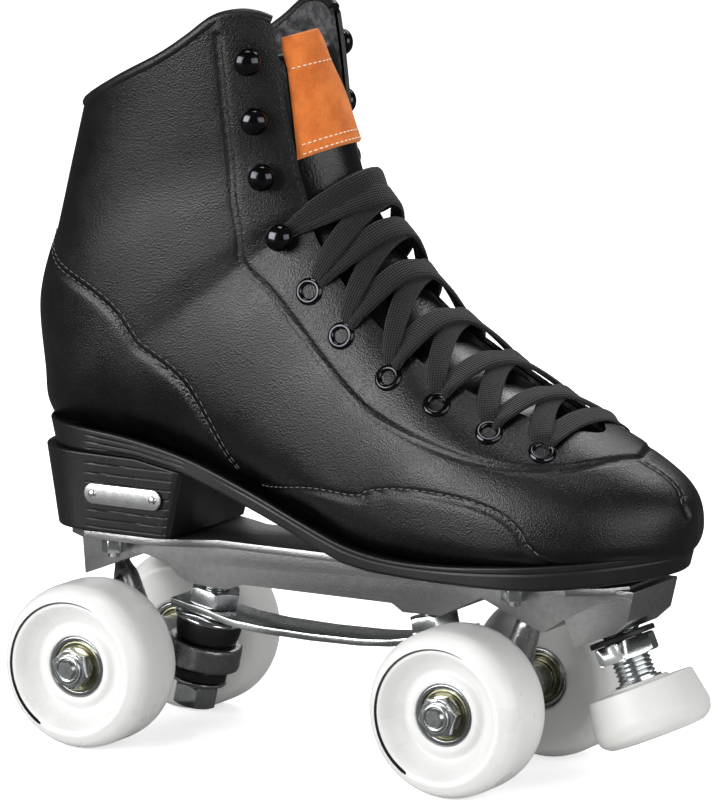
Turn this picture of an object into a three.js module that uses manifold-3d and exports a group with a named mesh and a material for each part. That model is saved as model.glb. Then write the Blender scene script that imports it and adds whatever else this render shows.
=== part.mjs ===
// Quad roller skate, right foot, for one wearer's size: high-top boot, cast plate, two sprung trucks,
// four wheels on ball bearings and an adjustable toe stop.
// Millimetres. +X points to the toe, +Y to the inner (medial) side, +Z up. The skate stands on z = 0.
import * as THREE from 'three';
import { mergeVertices } from 'three/addons/utils/BufferGeometryUtils.js';
import Module from 'manifold-3d';

const wasm = await Module();
wasm.setup();

// ---------------------------------------------------------------- driving dimensions
const wheelbase = 150;
const track = 70;                 // between the hub centres of a pair of wheels
const gap = 0.3;                  // left between pieces that touch
const fine = 0.15;                // left round a shaft in its own fixed hole

const wheel = { radius: 30, outset: 2.5, halfWidth: 15.5, lip: 13.2, dish: 15.5, dishRim: 22.5, sides: 28 };
const bearing = { radius: 11, bore: 4, width: 7, spacer: 10, sides: 16 };
const axle = { radius: 3.85, past: 1.3 };
const axleNut = { flats: 13, height: 6 };

const kingpin = { radius: 5, lean: 12 * Math.PI / 180, inset: 25, headFlats: 15, headHeight: 7.8 };
const ring = { radius: 13.7, bore: 7, halfHeight: 4.7 };
const lowerCushion = { radius: 9.8, height: 5 };
const upperCushion = { radius: 11, topRadius: 12, height: 8.3 };
const lowerCup = { radius: 10.2, height: 1.6 };
const upperCup = { radius: 13, height: 2 };
const brace = { width: 20, thickness: 2.6, sag: 3 };
const lockNut = { flats: 17, height: 6 };
const pivot = { outset: 11, rise: 33.5, ball: 4, neck: 3, cup: 6.5, cupDepth: 5.5 };
const housing = { radius: 8, clearance: 1 };

const plate = { rise: 45.5, flange: 2.6, halfWidth: 16.8, wall: 3, roof: 3, heelFlange: 27.5, toeFlange: 28 };
const mountingBolt = { radius: 2.4, y: 22.2, rear: 0.5, front: 14, nutFlats: 8, nutHeight: 4.6 };

const toeStop = {
  tilt: 24 * Math.PI / 180, ahead: 44.6, below: 19.9, stem: 7, stemUp: 13, travel: 4,
  washer: 12, washerHeight: 2,
  nutFlats: 20, nutHeight: 6.5, collar: 8.5, padStart: 19.3, padTop: 19, padRadius: 21.5, padHeight: 19,
};

const upper = { wall: 3.2, start: 0.045, end: 1.08, angles: 20 };
const heel = { height: 28.2, halfWidth: 28.8 };
const insole = { thickness: 3 };
const tongue = { thickness: 4, bottom: 0.17, top: 0.955, overlap: 13, clearance: 1.5 };
const tab = { thickness: 1.5, bottom: 0.795, top: 0.975 };
const lace = { width: 8, thickness: 2, lift: 1.5 };
const hook = { radius: 5, height: 7.6, sides: 8 };
const badge = { length: 32, width: 7.4, thickness: 1, x: -66.5, rise: 14.5, rivet: 1.6 };

// Places that follow from the dimensions above.
const axleX = wheelbase / 2;
const axleHeight = wheel.radius;
const plateTop = axleHeight + plate.rise;
const bearingOffset = (bearing.spacer + bearing.width) / 2;
const hubDepth = bearing.spacer / 2 + bearing.width;
const hubFace = track / 2 + hubDepth;
const axleHalfLength = hubFace + gap + axleNut.height + axle.past;
const housingHalfLength = track / 2 - hubDepth - housing.clearance;
const fromRear = ([ahead, other]) => [-axleX + ahead, other];
const fromFront = ([ahead, other]) => [axleX + ahead, other];

// ---------------------------------------------------------------- finishes
const finish = (color, roughness, metalness) => new THREE.MeshStandardMaterial({ color, roughness, metalness });
const materials = {
  leather: finish(0x2a2a2b, 0.45, 0),
  tongueLeather: finish(0x1b1b1c, 0.3, 0),
  soleRubber: finish(0x2b2b2c, 0.5, 0),
  felt: finish(0x3a3a3c, 0.95, 0),
  lace: finish(0x303031, 0.9, 0),
  suede: finish(0xc8692f, 0.9, 0),
  blackNickel: finish(0x17171a, 0.15, 0.8),
  castAluminium: finish(0xb4b6b6, 0.45, 0.9),
  zinc: finish(0xc9cccd, 0.3, 1),
  chrome: finish(0xd8dadb, 0.12, 1),
  blackRubber: finish(0x1c1c1c, 0.7, 0),
  urethane: finish(0xf2f2f0, 0.35, 0),
  stopRubber: finish(0xdcdcda, 0.55, 0),
};

// ---------------------------------------------------------------- solids and booleans
function toSolid(geometry) {
  const bare = geometry.clone();
  bare.deleteAttribute('normal');
  bare.deleteAttribute('uv');
  const merged = mergeVertices(bare, 1e-4);
  const position = merged.getAttribute('position');
  const triVerts = Uint32Array.from(merged.index.array);
  const vertProperties = Float32Array.from(position.array);
  return new wasm.Manifold(new wasm.Mesh({ numProp: 3, vertProperties, triVerts }));
}

function toGeometry(solid) {
  const mesh = solid.getMesh();
  const geometry = new THREE.BufferGeometry();
  geometry.setAttribute('position', new THREE.BufferAttribute(Float32Array.from(mesh.vertProperties), 3));
  geometry.setIndex(Array.from(mesh.triVerts));
  geometry.computeVertexNormals();
  return geometry;
}

const join = (...geometries) => toGeometry(geometries.map(toSolid).reduce((all, next) => all.add(next)));

const cut = (geometry, ...tools) =>
  toGeometry(tools.map(toSolid).reduce((left, tool) => left.subtract(tool), toSolid(geometry)));

// The same piece with any sealed hollow inside it filled.
function filled(geometry) {
  const skins = toSolid(geometry).decompose();
  return toGeometry(skins.reduce((outer, skin) => (skin.volume() > outer.volume() ? skin : outer)));
}

const common = (a, b) => toGeometry(toSolid(a).intersect(toSolid(b)));

// A turned piece about +Y from [radius, height] pairs. An open profile is closed along the axis.
function turnedAboutY(profile, sides) {
  const area = profile.reduce((sum, [r, h], i) => {
    const [nextR, nextH] = profile[(i + 1) % profile.length];
    return sum + r * nextH - nextR * h;
  }, 0);
  const ordered = area > 0 ? profile : [...profile].reverse();
  return new THREE.LatheGeometry(ordered.map(([radius, height]) => new THREE.Vector2(radius, height)), sides);
}

const turned = (profile, sides) => turnedAboutY(profile, sides).rotateX(Math.PI / 2);

// A washer, tube or ring about +Z.
function ringSolid(outer, inner, low, high, sides) {
  return turned([[inner, low], [outer, low], [outer, high], [inner, high], [inner, low]], sides);
}

function cylinder(radius, low, high, sides, topRadius = radius) {
  return turned([[0, low], [radius, low], [topRadius, high], [0, high]], sides);
}

// A hexagonal nut or bolt head about +Z, sized across its flats.
function hexagon(flats, low, high, bore = 0) {
  const across = flats / 2 / Math.cos(Math.PI / 6);
  const outside = cylinder(across, low, high, 6);
  return bore > 0 ? cut(outside, cylinder(bore, low - 1, high + 1, 16)) : outside;
}

// Moves a piece made about +Z so that its origin lies at `from` and its +Z points along `direction`.
function along(geometry, from, direction) {
  const up = new THREE.Vector3(0, 0, 1);
  const turn = new THREE.Quaternion().setFromUnitVectors(up, direction.clone().normalize());
  return geometry.clone().applyQuaternion(turn).translate(from.x, from.y, from.z);
}

function box(x0, x1, y0, y1, z0, z1) {
  const block = new THREE.BoxGeometry(x1 - x0, y1 - y0, z1 - z0);
  return block.translate((x0 + x1) / 2, (y0 + y1) / 2, (z0 + z1) / 2);
}

// A plan outline, drawn in x and y, raised from z0 to z1.
function planSolid(outline, z0, z1) {
  const shape = new THREE.Shape(outline.map(([x, y]) => new THREE.Vector2(x, y)));
  return new THREE.ExtrudeGeometry(shape, { depth: z1 - z0, bevelEnabled: false }).translate(0, 0, z0);
}

// A side outline, drawn in x and z, given a width across y.
function sideSolid(outline, halfWidth) {
  const shape = new THREE.Shape(outline.map(([x, z]) => new THREE.Vector2(x, z)));
  const slab = new THREE.ExtrudeGeometry(shape, { depth: 2 * halfWidth, bevelEnabled: false });
  return slab.rotateX(Math.PI / 2).translate(0, halfWidth, 0);
}

function smooth(points, steps) {
  const curve = new THREE.SplineCurve(points.map(([x, y]) => new THREE.Vector2(x, y)));
  return curve.getPoints(steps).map((p) => [p.x, p.y]);
}

const parts = new THREE.Group();

function add(name, geometry, material, parent = parts) {
  const mesh = new THREE.Mesh(geometry, material);
  mesh.name = name;
  parent.add(mesh);
  return mesh;
}

// ---------------------------------------------------------------- boot shape
// Sections of the boot from the toe tip (place 0) over the instep to the collar (place 1): the point on
// the underside or back, the point on the top or front, and the half width. Heights are above the plate.
const sections = [
  { at: 0, back: [145, 11], front: [147, 25], half: 5 },
  { at: 0.02, back: [143.5, 10.5], front: [144, 30.5], half: 14 },
  { at: 0.055, back: [139.5, 9.8], front: [138, 36.5], half: 23 },
  { at: 0.1, back: [132, 8.8], front: [128.5, 42], half: 31.5 },
  { at: 0.15, back: [120, 7.2], front: [116, 48], half: 38.5 },
  { at: 0.21, back: [103, 5.6], front: [98.5, 55.5], half: 43.5 },
  { at: 0.28, back: [82, 4], front: [77, 66], half: 45.5 },
  { at: 0.35, back: [58, 3.3], front: [57, 79], half: 44 },
  { at: 0.42, back: [32, 4.2], front: [42.5, 92], half: 39.5 },
  { at: 0.49, back: [3, 12.4], front: [32.5, 105], half: 35.5 },
  { at: 0.55, back: [-27, 22.5], front: [26, 114.5], half: 33.5 },
  { at: 0.61, back: [-62, 30.5], front: [21, 122.5], half: 33 },
  { at: 0.655, back: [-102, 34.5], front: [18, 128.5], half: 32.5 },
  { at: 0.68, back: [-110, 40.5], front: [16.5, 131], half: 33 },
  { at: 0.71, back: [-112, 53], front: [15.5, 134.5], half: 33.5 },
  { at: 0.76, back: [-114.5, 79.5], front: [13, 141], half: 33.5 },
  { at: 0.82, back: [-107.5, 106.5], front: [10, 150.5], half: 33 },
  { at: 0.88, back: [-101.5, 129.5], front: [7, 163.5], half: 34 },
  { at: 0.94, back: [-97, 145.5], front: [4, 177.5], half: 35 },
  { at: 1, back: [-94, 155.5], front: [0, 194.5], half: 36 },
  { at: 1.08, back: [-91.5, 169], front: [-5, 214], half: 37 },
];
const toeInset = 1;               // the toe leans to the inner side

// The heel height that the boot's shape is drawn for. Another height lifts the boot behind the ball of
// the foot, all of it from the waist back and less and less towards the ball.
const lastHeel = 28.2;
const ballX = 44;
const waistX = -62;

function heelLift(x) {
  const share = THREE.MathUtils.clamp((ballX - x) / (ballX - waistX), 0, 1);
  return (heel.height - lastHeel) * share;
}

const raised = ([x, z]) => [x, z + heelLift(x)];

// Value at place `s` of a smooth curve through [place, value] pairs.
function along1(pairs, s) {
  let i = pairs.findIndex(([at]) => at > s) - 1;
  if (i < 0) i = s < pairs[0][0] ? 0 : pairs.length - 2;
  const [a, b] = [pairs[i], pairs[i + 1]];
  const before = pairs[Math.max(i - 1, 0)];
  const after = pairs[Math.min(i + 2, pairs.length - 1)];
  const span = b[0] - a[0];
  const slopeA = (b[1] - before[1]) / (b[0] - before[0]) * span;
  const slopeB = (after[1] - a[1]) / (after[0] - a[0]) * span;
  const t = (s - a[0]) / span;
  const [t2, t3] = [t * t, t * t * t];
  const fromA = (2 * t3 - 3 * t2 + 1) * a[1] + (t3 - 2 * t2 + t) * slopeA;
  const fromB = (3 * t2 - 2 * t3) * b[1] + (t3 - t2) * slopeB;
  return fromA + fromB;
}

const curveOf = (read) => sections.map((section) => [section.at, read(section)]);
const backX = curveOf((section) => section.back[0]);
const backZ = curveOf(({ back }) => back[1] + heelLift(back[0]));
const frontX = curveOf((section) => section.front[0]);
const frontZ = curveOf(({ back, front }) => front[1] + heelLift(back[0]));
const halfWidth = curveOf((section) => section.half);
const widestAt = [[0, 0.45], [0.055, 0.36], [0.15, 0.3], [0.28, 0.27], [0.42, 0.29], [0.55, 0.38], [0.71, 0.47],
  [1.08, 0.5]];
const underSquareness = [[0, 2.2], [0.1, 3.2], [0.21, 3.8], [0.35, 3.6], [0.49, 2.8], [0.61, 2.4], [0.76, 2.2],
  [1.08, 2.2]];
const topSquareness = 2.2;

// A point of the boot's surface. `s` runs from toe to collar, `angle` (degrees) once round the section
// from the underside (0) by the outer side (90) over the top (180), and `depth` is inside the surface.
function bootPoint(s, angle, depth = 0) {
  const side = angle <= 180 ? -1 : 1;
  const phi = (angle <= 180 ? angle - 90 : 270 - angle) * Math.PI / 180;
  const back = new THREE.Vector2(along1(backX, s), along1(backZ, s));
  const front = new THREE.Vector2(along1(frontX, s), along1(frontZ, s));
  const across = front.clone().sub(back).normalize();
  back.addScaledVector(across, depth);
  front.addScaledVector(across, -depth);
  const power = 2 / (phi < 0 ? along1(underSquareness, s) : topSquareness);
  const out = Math.pow(Math.abs(Math.cos(phi)), power);
  const rise = Math.pow(Math.abs(Math.sin(phi)), power);
  const widest = along1(widestAt, s);
  const t = phi < 0 ? widest * (1 - rise) : widest + (1 - widest) * rise;
  const shift = toeInset * Math.max(0, 1 - s / 0.2);
  const y = shift + side * out * (along1(halfWidth, s) - depth);
  return new THREE.Vector3(back.x + (front.x - back.x) * t, y, plateTop + back.y + (front.y - back.y) * t);
}

function bootNormal(s, angle, depth = 0) {
  const step = 0.004;
  const alongBoot = bootPoint(s + step, angle, depth).sub(bootPoint(s - step, angle, depth));
  const round = bootPoint(s, angle + 1, depth).sub(bootPoint(s, angle - 1, depth));
  return alongBoot.cross(round).normalize().negate();
}

const spread = (from, to, steps) => Array.from({ length: steps + 1 }, (_, i) => from + (to - from) * i / steps);

// A closed geometry from a list of vertices and faces, with its faces turned outwards.
function closedGeometry(vertices, faces) {
  const volume = faces.reduce((sum, [a, b, c]) => {
    const normal = new THREE.Vector3().crossVectors(vertices[b], vertices[c]);
    return sum + vertices[a].dot(normal);
  }, 0);
  const outward = volume > 0 ? faces : faces.map(([a, b, c]) => [a, c, b]);
  const geometry = new THREE.BufferGeometry().setFromPoints(vertices);
  geometry.setIndex(outward.flat());
  geometry.computeVertexNormals();
  return geometry;
}

const quad = (a, b, c, d) => [[a, b, c], [a, c, d]];

// A solid through closed rings of equal length, ended by flat fans.
function ringLoft(rings) {
  const count = rings[0].length;
  const vertices = rings.flat();
  const faces = [];
  for (let i = 0; i + 1 < rings.length; i += 1) {
    for (let j = 0; j < count; j += 1) {
      const next = (j + 1) % count;
      const [low, high] = [i * count, (i + 1) * count];
      faces.push(...quad(low + j, low + next, high + next, high + j));
    }
  }
  for (const [start, flip] of [[0, true], [(rings.length - 1) * count, false]]) {
    const middle = vertices.length;
    const ring = vertices.slice(start, start + count);
    vertices.push(ring.reduce((sum, p) => sum.add(p), new THREE.Vector3()).divideScalar(count));
    for (let j = 0; j < count; j += 1) {
      const next = (j + 1) % count;
      faces.push(flip ? [start + next, start + j, middle] : [start + j, start + next, middle]);
    }
  }
  return closedGeometry(vertices, faces);
}

// A bent slab between two grids of points: `at(s, k, depth)` gives a point, k running 0 to 1 across.
function slab(places, across, at, outerDepth, innerDepth) {
  const vertices = [];
  for (const depth of [outerDepth, innerDepth]) {
    for (const s of places) {
      for (const k of across) vertices.push(at(s, k, depth));
    }
  }
  const [rows, cols] = [places.length, across.length];
  const id = (layer, i, j) => layer * rows * cols + i * cols + j;
  const faces = [];
  for (let i = 0; i + 1 < rows; i += 1) {
    for (let j = 0; j + 1 < cols; j += 1) {
      faces.push(...quad(id(0, i, j), id(0, i, j + 1), id(0, i + 1, j + 1), id(0, i + 1, j)));
      faces.push(...quad(id(1, i, j), id(1, i + 1, j), id(1, i + 1, j + 1), id(1, i, j + 1)));
    }
    faces.push(...quad(id(0, i, 0), id(0, i + 1, 0), id(1, i + 1, 0), id(1, i, 0)));
    faces.push(...quad(id(0, i, cols - 1), id(1, i, cols - 1), id(1, i + 1, cols - 1), id(0, i + 1, cols - 1)));
  }
  for (let j = 0; j + 1 < cols; j += 1) {
    faces.push(...quad(id(0, 0, j), id(1, 0, j), id(1, 0, j + 1), id(0, 0, j + 1)));
    faces.push(...quad(id(0, rows - 1, j), id(0, rows - 1, j + 1), id(1, rows - 1, j + 1), id(1, rows - 1, j)));
  }
  return closedGeometry(vertices, faces);
}

// The throat: how far round from the underside each facing's edge lies, at each place.
const facingEdge = [[0.17, 176], [0.19, 166], [0.22, 161], [0.27, 154], [0.33, 149], [0.4, 144.5], [0.5, 138.5],
  [0.59, 138.5], [0.69, 144], [0.79, 143], [0.88, 141], [1.08, 142]];

// The collar's edge seen from the side, back to front, as [x, height above the plate].
const collarEdge = smooth([[-126, 150], [-95, 152.5], [-84, 156.5], [-66, 165.5], [-48, 174.5], [-36, 182.5],
  [-27, 189.5], [-17, 191.5], [-9, 188], [-5.5, 181], [-3, 171]], 18);

function bootBody(depth, from, to) {
  const angles = spread(0, 360, upper.angles).slice(0, upper.angles);
  const places = sections.map((section) => section.at).filter((at) => at > from && at < to);
  return ringLoft([from, ...places, to].map((s) => angles.map((angle) => bootPoint(s, angle, depth))));
}

function makeUpper() {
  const outside = bootBody(0, 0, upper.end);
  const inside = bootBody(upper.wall, upper.start, upper.end + 0.02);
  const places = [0.175, 0.2, 0.24, 0.3, 0.38, 0.46, 0.54, 0.62, 0.7, 0.8, 0.9, 1, 1.12];
  const throat = slab(places, spread(0, 1, 6), (s, k, depth) => {
    const edge = along1(facingEdge, s);
    return bootPoint(s, edge + (360 - 2 * edge) * k, depth);
  }, -8, upper.wall + 6);
  const collar = collarEdge.map(([x, z]) => [x, plateTop + z + heelLift(waistX)]);
  const front = [60, collar[collar.length - 1][1]];
  const above = [...collar, front, [60, 400], [-126, 400]];
  return cut(outside, inside, throat, sideSolid(above, 60));
}

// ---------------------------------------------------------------- boot pieces
// Top of the sole's edge and its underside, seen from the side, as [x, height above the plate].
const featherLine = smooth([[152, 13.5], [139, 12.8], [111, 9.9], [94, 8.4], [68, 6.5], [46, 6.2], [27, 8.4],
  [7, 14.2], [-16, 22.4], [-38, 30.2], [-55, 34.3], [-76, 37.2], [-114, 39]].map(raised), 14);
const underside = smooth([[-114, lastHeel + 1.5], [-62, lastHeel + 0.6], [-43, 25.5], [-19, 17], [3, 9.4],
  [16, 4.8], [28, 1.4], [40, gap], [60, gap]].map(raised), 12);
const toeSpring = [[105, gap], [120, 1.8], [135, 3.6], [148, 5]];
const soleOutline = [[146.5, 4], [143, 14], [134, 26], [120, 36.5], [98, 44.5], [76, 46.5], [48, 42.5],
  [18, 34.5], [-15, 29], [-50, 30], [-85, 29.8], [-101, 24], [-108.6, 13.5], [-111.5, 4]];
const heelOutline = [[-40, 27.8], [-50, heel.halfWidth], [-86, heel.halfWidth], [-93, 27.4], [-100.5, 22.8],
  [-106, 15.5], [-108.6, 7]];

// A plan outline from its half on the inner side, mirrored, with each point moved sideways by `shift`.
function mirroredOutline(one, shift = () => 0) {
  const innerSide = one.map(([x, y]) => [x, y + shift(x)]);
  const outerSide = one.map(([x, y]) => [x, -y + shift(x)]).reverse();
  return [...innerSide, ...outerSide];
}

function makeOutsole(body) {
  const plan = mirroredOutline(smooth(soleOutline, 15), (x) => toeInset * Math.max(0, (x - 90) / 55));
  const side = [...featherLine, ...underside, ...toeSpring].map(([x, z]) => [x, plateTop + z]);
  return cut(common(planSolid(plan, plateTop, plateTop + 45), sideSolid(side, 60)), body);
}

function makeHeel() {
  const plan = mirroredOutline(heelOutline);
  const top = underside.filter(([x]) => x < -40).map(([x, z]) => [x, z - gap]);
  const front = [[-43.5, 15], [-48.5, gap]];
  const rear = [[-103.5, gap], [-109.5, heel.height]];
  const side = [...top, ...front, ...rear].map(([x, z]) => [x, plateTop + z]);
  return common(planSolid(plan, plateTop, plateTop + 45), sideSolid(side, 60));
}

function makeBadge() {
  const radius = badge.width / 2;
  const half = badge.length / 2 - radius;
  const shape = new THREE.Shape();
  shape.absarc(half, 0, radius, -Math.PI / 2, Math.PI / 2);
  shape.absarc(-half, 0, radius, Math.PI / 2, 3 * Math.PI / 2);
  const settings = { depth: badge.thickness, bevelEnabled: false, curveSegments: 10 };
  const tag = new THREE.ExtrudeGeometry(shape, settings);
  const rivets = [half, -half].map((x) =>
    cylinder(badge.rivet, 0.2, badge.thickness + 0.7, 12, badge.rivet - 0.6).translate(x, 0, 0));
  const plateAndRivets = join(tag, ...rivets).rotateX(Math.PI / 2);
  return plateAndRivets.translate(badge.x, -heel.halfWidth - gap, plateTop + badge.rise);
}

// The insole covers the floor of the foot space, over the same sections and angles as the upper.
function makeInsole() {
  const places = sections.map((section) => section.at).filter((at) => at > 0.09 && at < 0.63);
  const angles = spread(-3, 3, 6).map((step) => step * 360 / upper.angles);
  const depth = upper.wall + gap;
  const at = (s, angle, inside) => bootPoint(s, (angle + 360) % 360, inside);
  return slab(places, angles, at, depth, depth + insole.thickness);
}

// How far the tongue's middle has turned to the outer side, and half the tab's width, in degrees.
const tongueLean = [[0.17, 0], [0.45, 0], [0.6, 0], [0.8, 7], [1.08, 24]];
const tabHalfAngle = [[0.79, 28], [0.93, 15.5], [0.96, 14.5], [0.985, 12.5]];

const overTongue = (halfAngle) => (s, k, depth) =>
  bootPoint(s, 180 - along1(tongueLean, s) + halfAngle(s) * (2 * k - 1), depth);

function makeTongue() {
  const halfAngle = (s) => 180 - along1(facingEdge, Math.max(s, 0.22)) + tongue.overlap;
  const depth = upper.wall + tongue.clearance;
  const places = spread(tongue.bottom, tongue.top, 10);
  return slab(places, spread(0, 1, 6), overTongue(halfAngle), depth, depth + tongue.thickness);
}

function makeTab() {
  const halfAngle = (s) => along1(tabHalfAngle, s);
  const depth = upper.wall + tongue.clearance - 2 * gap;
  const places = spread(tab.bottom, tab.top, 5);
  return slab(places, spread(0, 1, 4), overTongue(halfAngle), depth - tab.thickness, depth);
}

// ---------------------------------------------------------------- lacing
// Places of the eyelets and hooks, toe to collar, as [place along the boot, angle round its section].
const eyelets = [[0.198, 141], [0.261, 137.5], [0.328, 134.8], [0.404, 129.3], [0.496, 124], [0.571, 124.8]];
const hooks = [[0.662, 131], [0.782, 128.4], [0.87, 126.6], [0.955, 126.6]];
const lastHook = [hooks[0][0], hooks[0][1] + 5];
const laced = [...eyelets, lastHook];

const ribbonSteps = 5;

// A flat ribbon laid from one place on the boot to another, just above its surface, and arched by `over`
// where it crosses another.
function ribbon([s0, a0], [s1, a1], over = 0) {
  const centres = spread(0, 1, ribbonSteps).map((k) => {
    const lift = lace.lift + lace.thickness / 2 + over * Math.sin(Math.PI * k);
    return [s0 + (s1 - s0) * k, a0 + (a1 - a0) * k, -lift];
  });
  const points = centres.map(([s, a, depth]) => bootPoint(s, a, depth));
  const rings = centres.map(([s, a, depth], i) => {
    const up = bootNormal(s, a, depth);
    const ahead = points[Math.min(i + 1, ribbonSteps)].clone().sub(points[Math.max(i - 1, 0)]).normalize();
    const sideways = new THREE.Vector3().crossVectors(up, ahead).normalize().multiplyScalar(lace.width / 2);
    const rise = up.clone().multiplyScalar(lace.thickness / 2);
    return [[-1, -1], [1, -1], [1, 1], [-1, 1]].map(([across, lift]) =>
      points[i].clone().addScaledVector(sideways, across).addScaledVector(rise, lift));
  });
  return ringLoft(rings);
}

const farSide = ([s, angle]) => [s, 360 - angle];

function makeLace() {
  const strands = [ribbon(laced[0], farSide(laced[0]))];
  for (let i = 0; i + 1 < laced.length; i += 1) {
    strands.push(ribbon(laced[i], farSide(laced[i + 1])));
    strands.push(ribbon(farSide(laced[i]), laced[i + 1], lace.thickness / 2));
  }
  strands.push(ribbon(lastHook, farSide(lastHook)));
  return filled(join(...strands));
}

function makeHook([s, angle]) {
  const { radius, height } = hook;
  const profile = [[0, 0], [radius - 1, 0], [radius - 1, 1], [2.2, 1.4], [2.2, 3.2],
    [radius, 4.2], [radius * 0.75, height - 0.8], [0, height]];
  return along(turned(profile, hook.sides), bootPoint(s, angle, -gap - 0.3), bootNormal(s, angle));
}

// ---------------------------------------------------------------- chassis places
const kingpinUp = new THREE.Vector3(Math.sin(kingpin.lean), 0, Math.cos(kingpin.lean));
const ringX = axleX - kingpin.inset;
const ringCentre = new THREE.Vector3(-ringX, 0, axleHeight);
const pivotCentre = new THREE.Vector3(-(axleX + pivot.outset), 0, axleHeight + pivot.rise);
const axleCentre = new THREE.Vector3(-axleX, 0, axleHeight);
const pivotUp = pivotCentre.clone().sub(axleCentre).normalize();

// Heights of the kingpin's stack along its axis, from the middle of the hanger's ring.
const stack = {};
stack.lowerCushionTop = -ring.halfHeight - gap;
stack.lowerCushionBottom = stack.lowerCushionTop - lowerCushion.height;
stack.lowerCupBottom = stack.lowerCushionBottom - gap - lowerCup.height;
stack.headTop = stack.lowerCupBottom - gap;
stack.upperCushionBottom = ring.halfHeight + gap;
stack.upperCushionTop = stack.upperCushionBottom + upperCushion.height;
stack.upperCupTop = stack.upperCushionTop + gap + upperCup.height;
stack.braceTop = stack.upperCupTop + gap + brace.thickness;
stack.nutTop = stack.braceTop + gap + lockNut.height;
stack.boss = stack.nutTop + gap;
stack.pinTop = stack.boss + 11;

const kingpinHole = (clearance, low, high) =>
  along(cylinder(kingpin.radius + clearance, low, high, 24), ringCentre, kingpinUp);
const mirrored = (geometry) => geometry.clone().rotateZ(Math.PI);

// ---------------------------------------------------------------- plate
const stopAxis = new THREE.Vector3(Math.sin(toeStop.tilt), 0, -Math.cos(toeStop.tilt));
const stopSeat = new THREE.Vector3(axleX + toeStop.ahead, 0, plateTop - toeStop.below);

// Half of the flange's outline at each end, as [distance ahead of that end's axle, half width].
const waist = plate.halfWidth + 0.8;
const frontFlange = [[54, 12], [49, 20], [37, plate.toeFlange], [-1, plate.toeFlange], [-17, 22], [-31, waist]];
const rearFlange = [[41, waist], [31, 23], [21, plate.heelFlange], [-9, plate.heelFlange], [-18, 21],
  [-21, 11]];

// The web's underside at each end, as [distance ahead of that end's axle, depth below the plate's top].
const rearWeb = [[-16.5, 1], [-15, 18.2], [9, 8.2], [20, 10.5], [24, 14.9], [29, 17.1], [44, 17.9], [51, 15.3]];
const frontWeb = [[-38, 15.3], [-33.5, 18.1], [-18, 17.7], [-14, 15.5], [-9, 13], [-2, 9.5], [10, 14.5],
  [22.5, 19.3], [27.5, 16], [31, 13.5], [34.8, 23.1], [50, 17], [55.5, 12], [58, 1]];

// Hollows cast into the web, behind and ahead of each kingpin's boss.
const hollow = { from: -2.5, to: 17, bossHalf: 21 };
const counterbore = { radius: 12.5, from: 8 };
const stopBoss = { face: 16, room: 20 };

const boltX = [-axleX + mountingBolt.rear, axleX + mountingBolt.front];

function makePlate() {
  const flange = mirroredOutline([...frontFlange.map(fromFront), ...rearFlange.map(fromRear)]);
  const web = [...rearWeb.map(fromRear), ...frontWeb.map(fromFront)].map(([x, depth]) => [x, plateTop - depth]);
  const solid = join(planSolid(flange, plateTop - plate.flange, plateTop), sideSolid(web, plate.halfWidth));
  const inner = plate.halfWidth - plate.wall;
  const middle = ringX - hollow.bossHalf;
  const rearHollow = [-axleX + hollow.from, -axleX + hollow.to];
  const frontHollow = [axleX - hollow.to, axleX - hollow.from];
  const hollows = [rearHollow, [-middle, middle], frontHollow];
  const pockets = hollows.map(([x0, x1]) => box(x0, x1, -inner, inner, axleHeight, plateTop - plate.roof));
  const stemRoom = toeStop.stemUp + toeStop.travel + 0.5;
  const stop = along(cylinder(toeStop.stem + 2 * fine, -stemRoom, 10, 20), stopSeat, stopAxis);
  const stopFace = along(cylinder(stopBoss.face, 0, stopBoss.room, 24), stopSeat, stopAxis);
  const nutRoom = along(cylinder(counterbore.radius, counterbore.from, stack.boss, 24), ringCentre, kingpinUp);
  const kingpinCut = join(kingpinHole(fine, 0, stack.pinTop + 2), nutRoom);
  const cup = along(cylinder(pivot.cup + gap, -30, pivot.cupDepth + gap, 24), pivotCentre, pivotUp);
  const bolts = boltX.flatMap((x) => [-1, 1].map((side) => {
    const hole = cylinder(mountingBolt.radius + gap, axleHeight, plateTop + 10, 12);
    return hole.translate(x, side * mountingBolt.y, 0);
  }));
  return cut(solid, ...pockets, stop, stopFace, kingpinCut, mirrored(kingpinCut), cup, mirrored(cup), ...bolts);
}

function makeMountingBolt() {
  const { radius, nutFlats, nutHeight } = mountingBolt;
  const nutTop = plateTop - plate.flange - gap;
  const nut = hexagon(nutFlats, nutTop - nutHeight, nutTop);
  return join(cylinder(radius, nutTop - nutHeight - 2, plateTop - 0.1, 12), nut);
}

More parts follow.
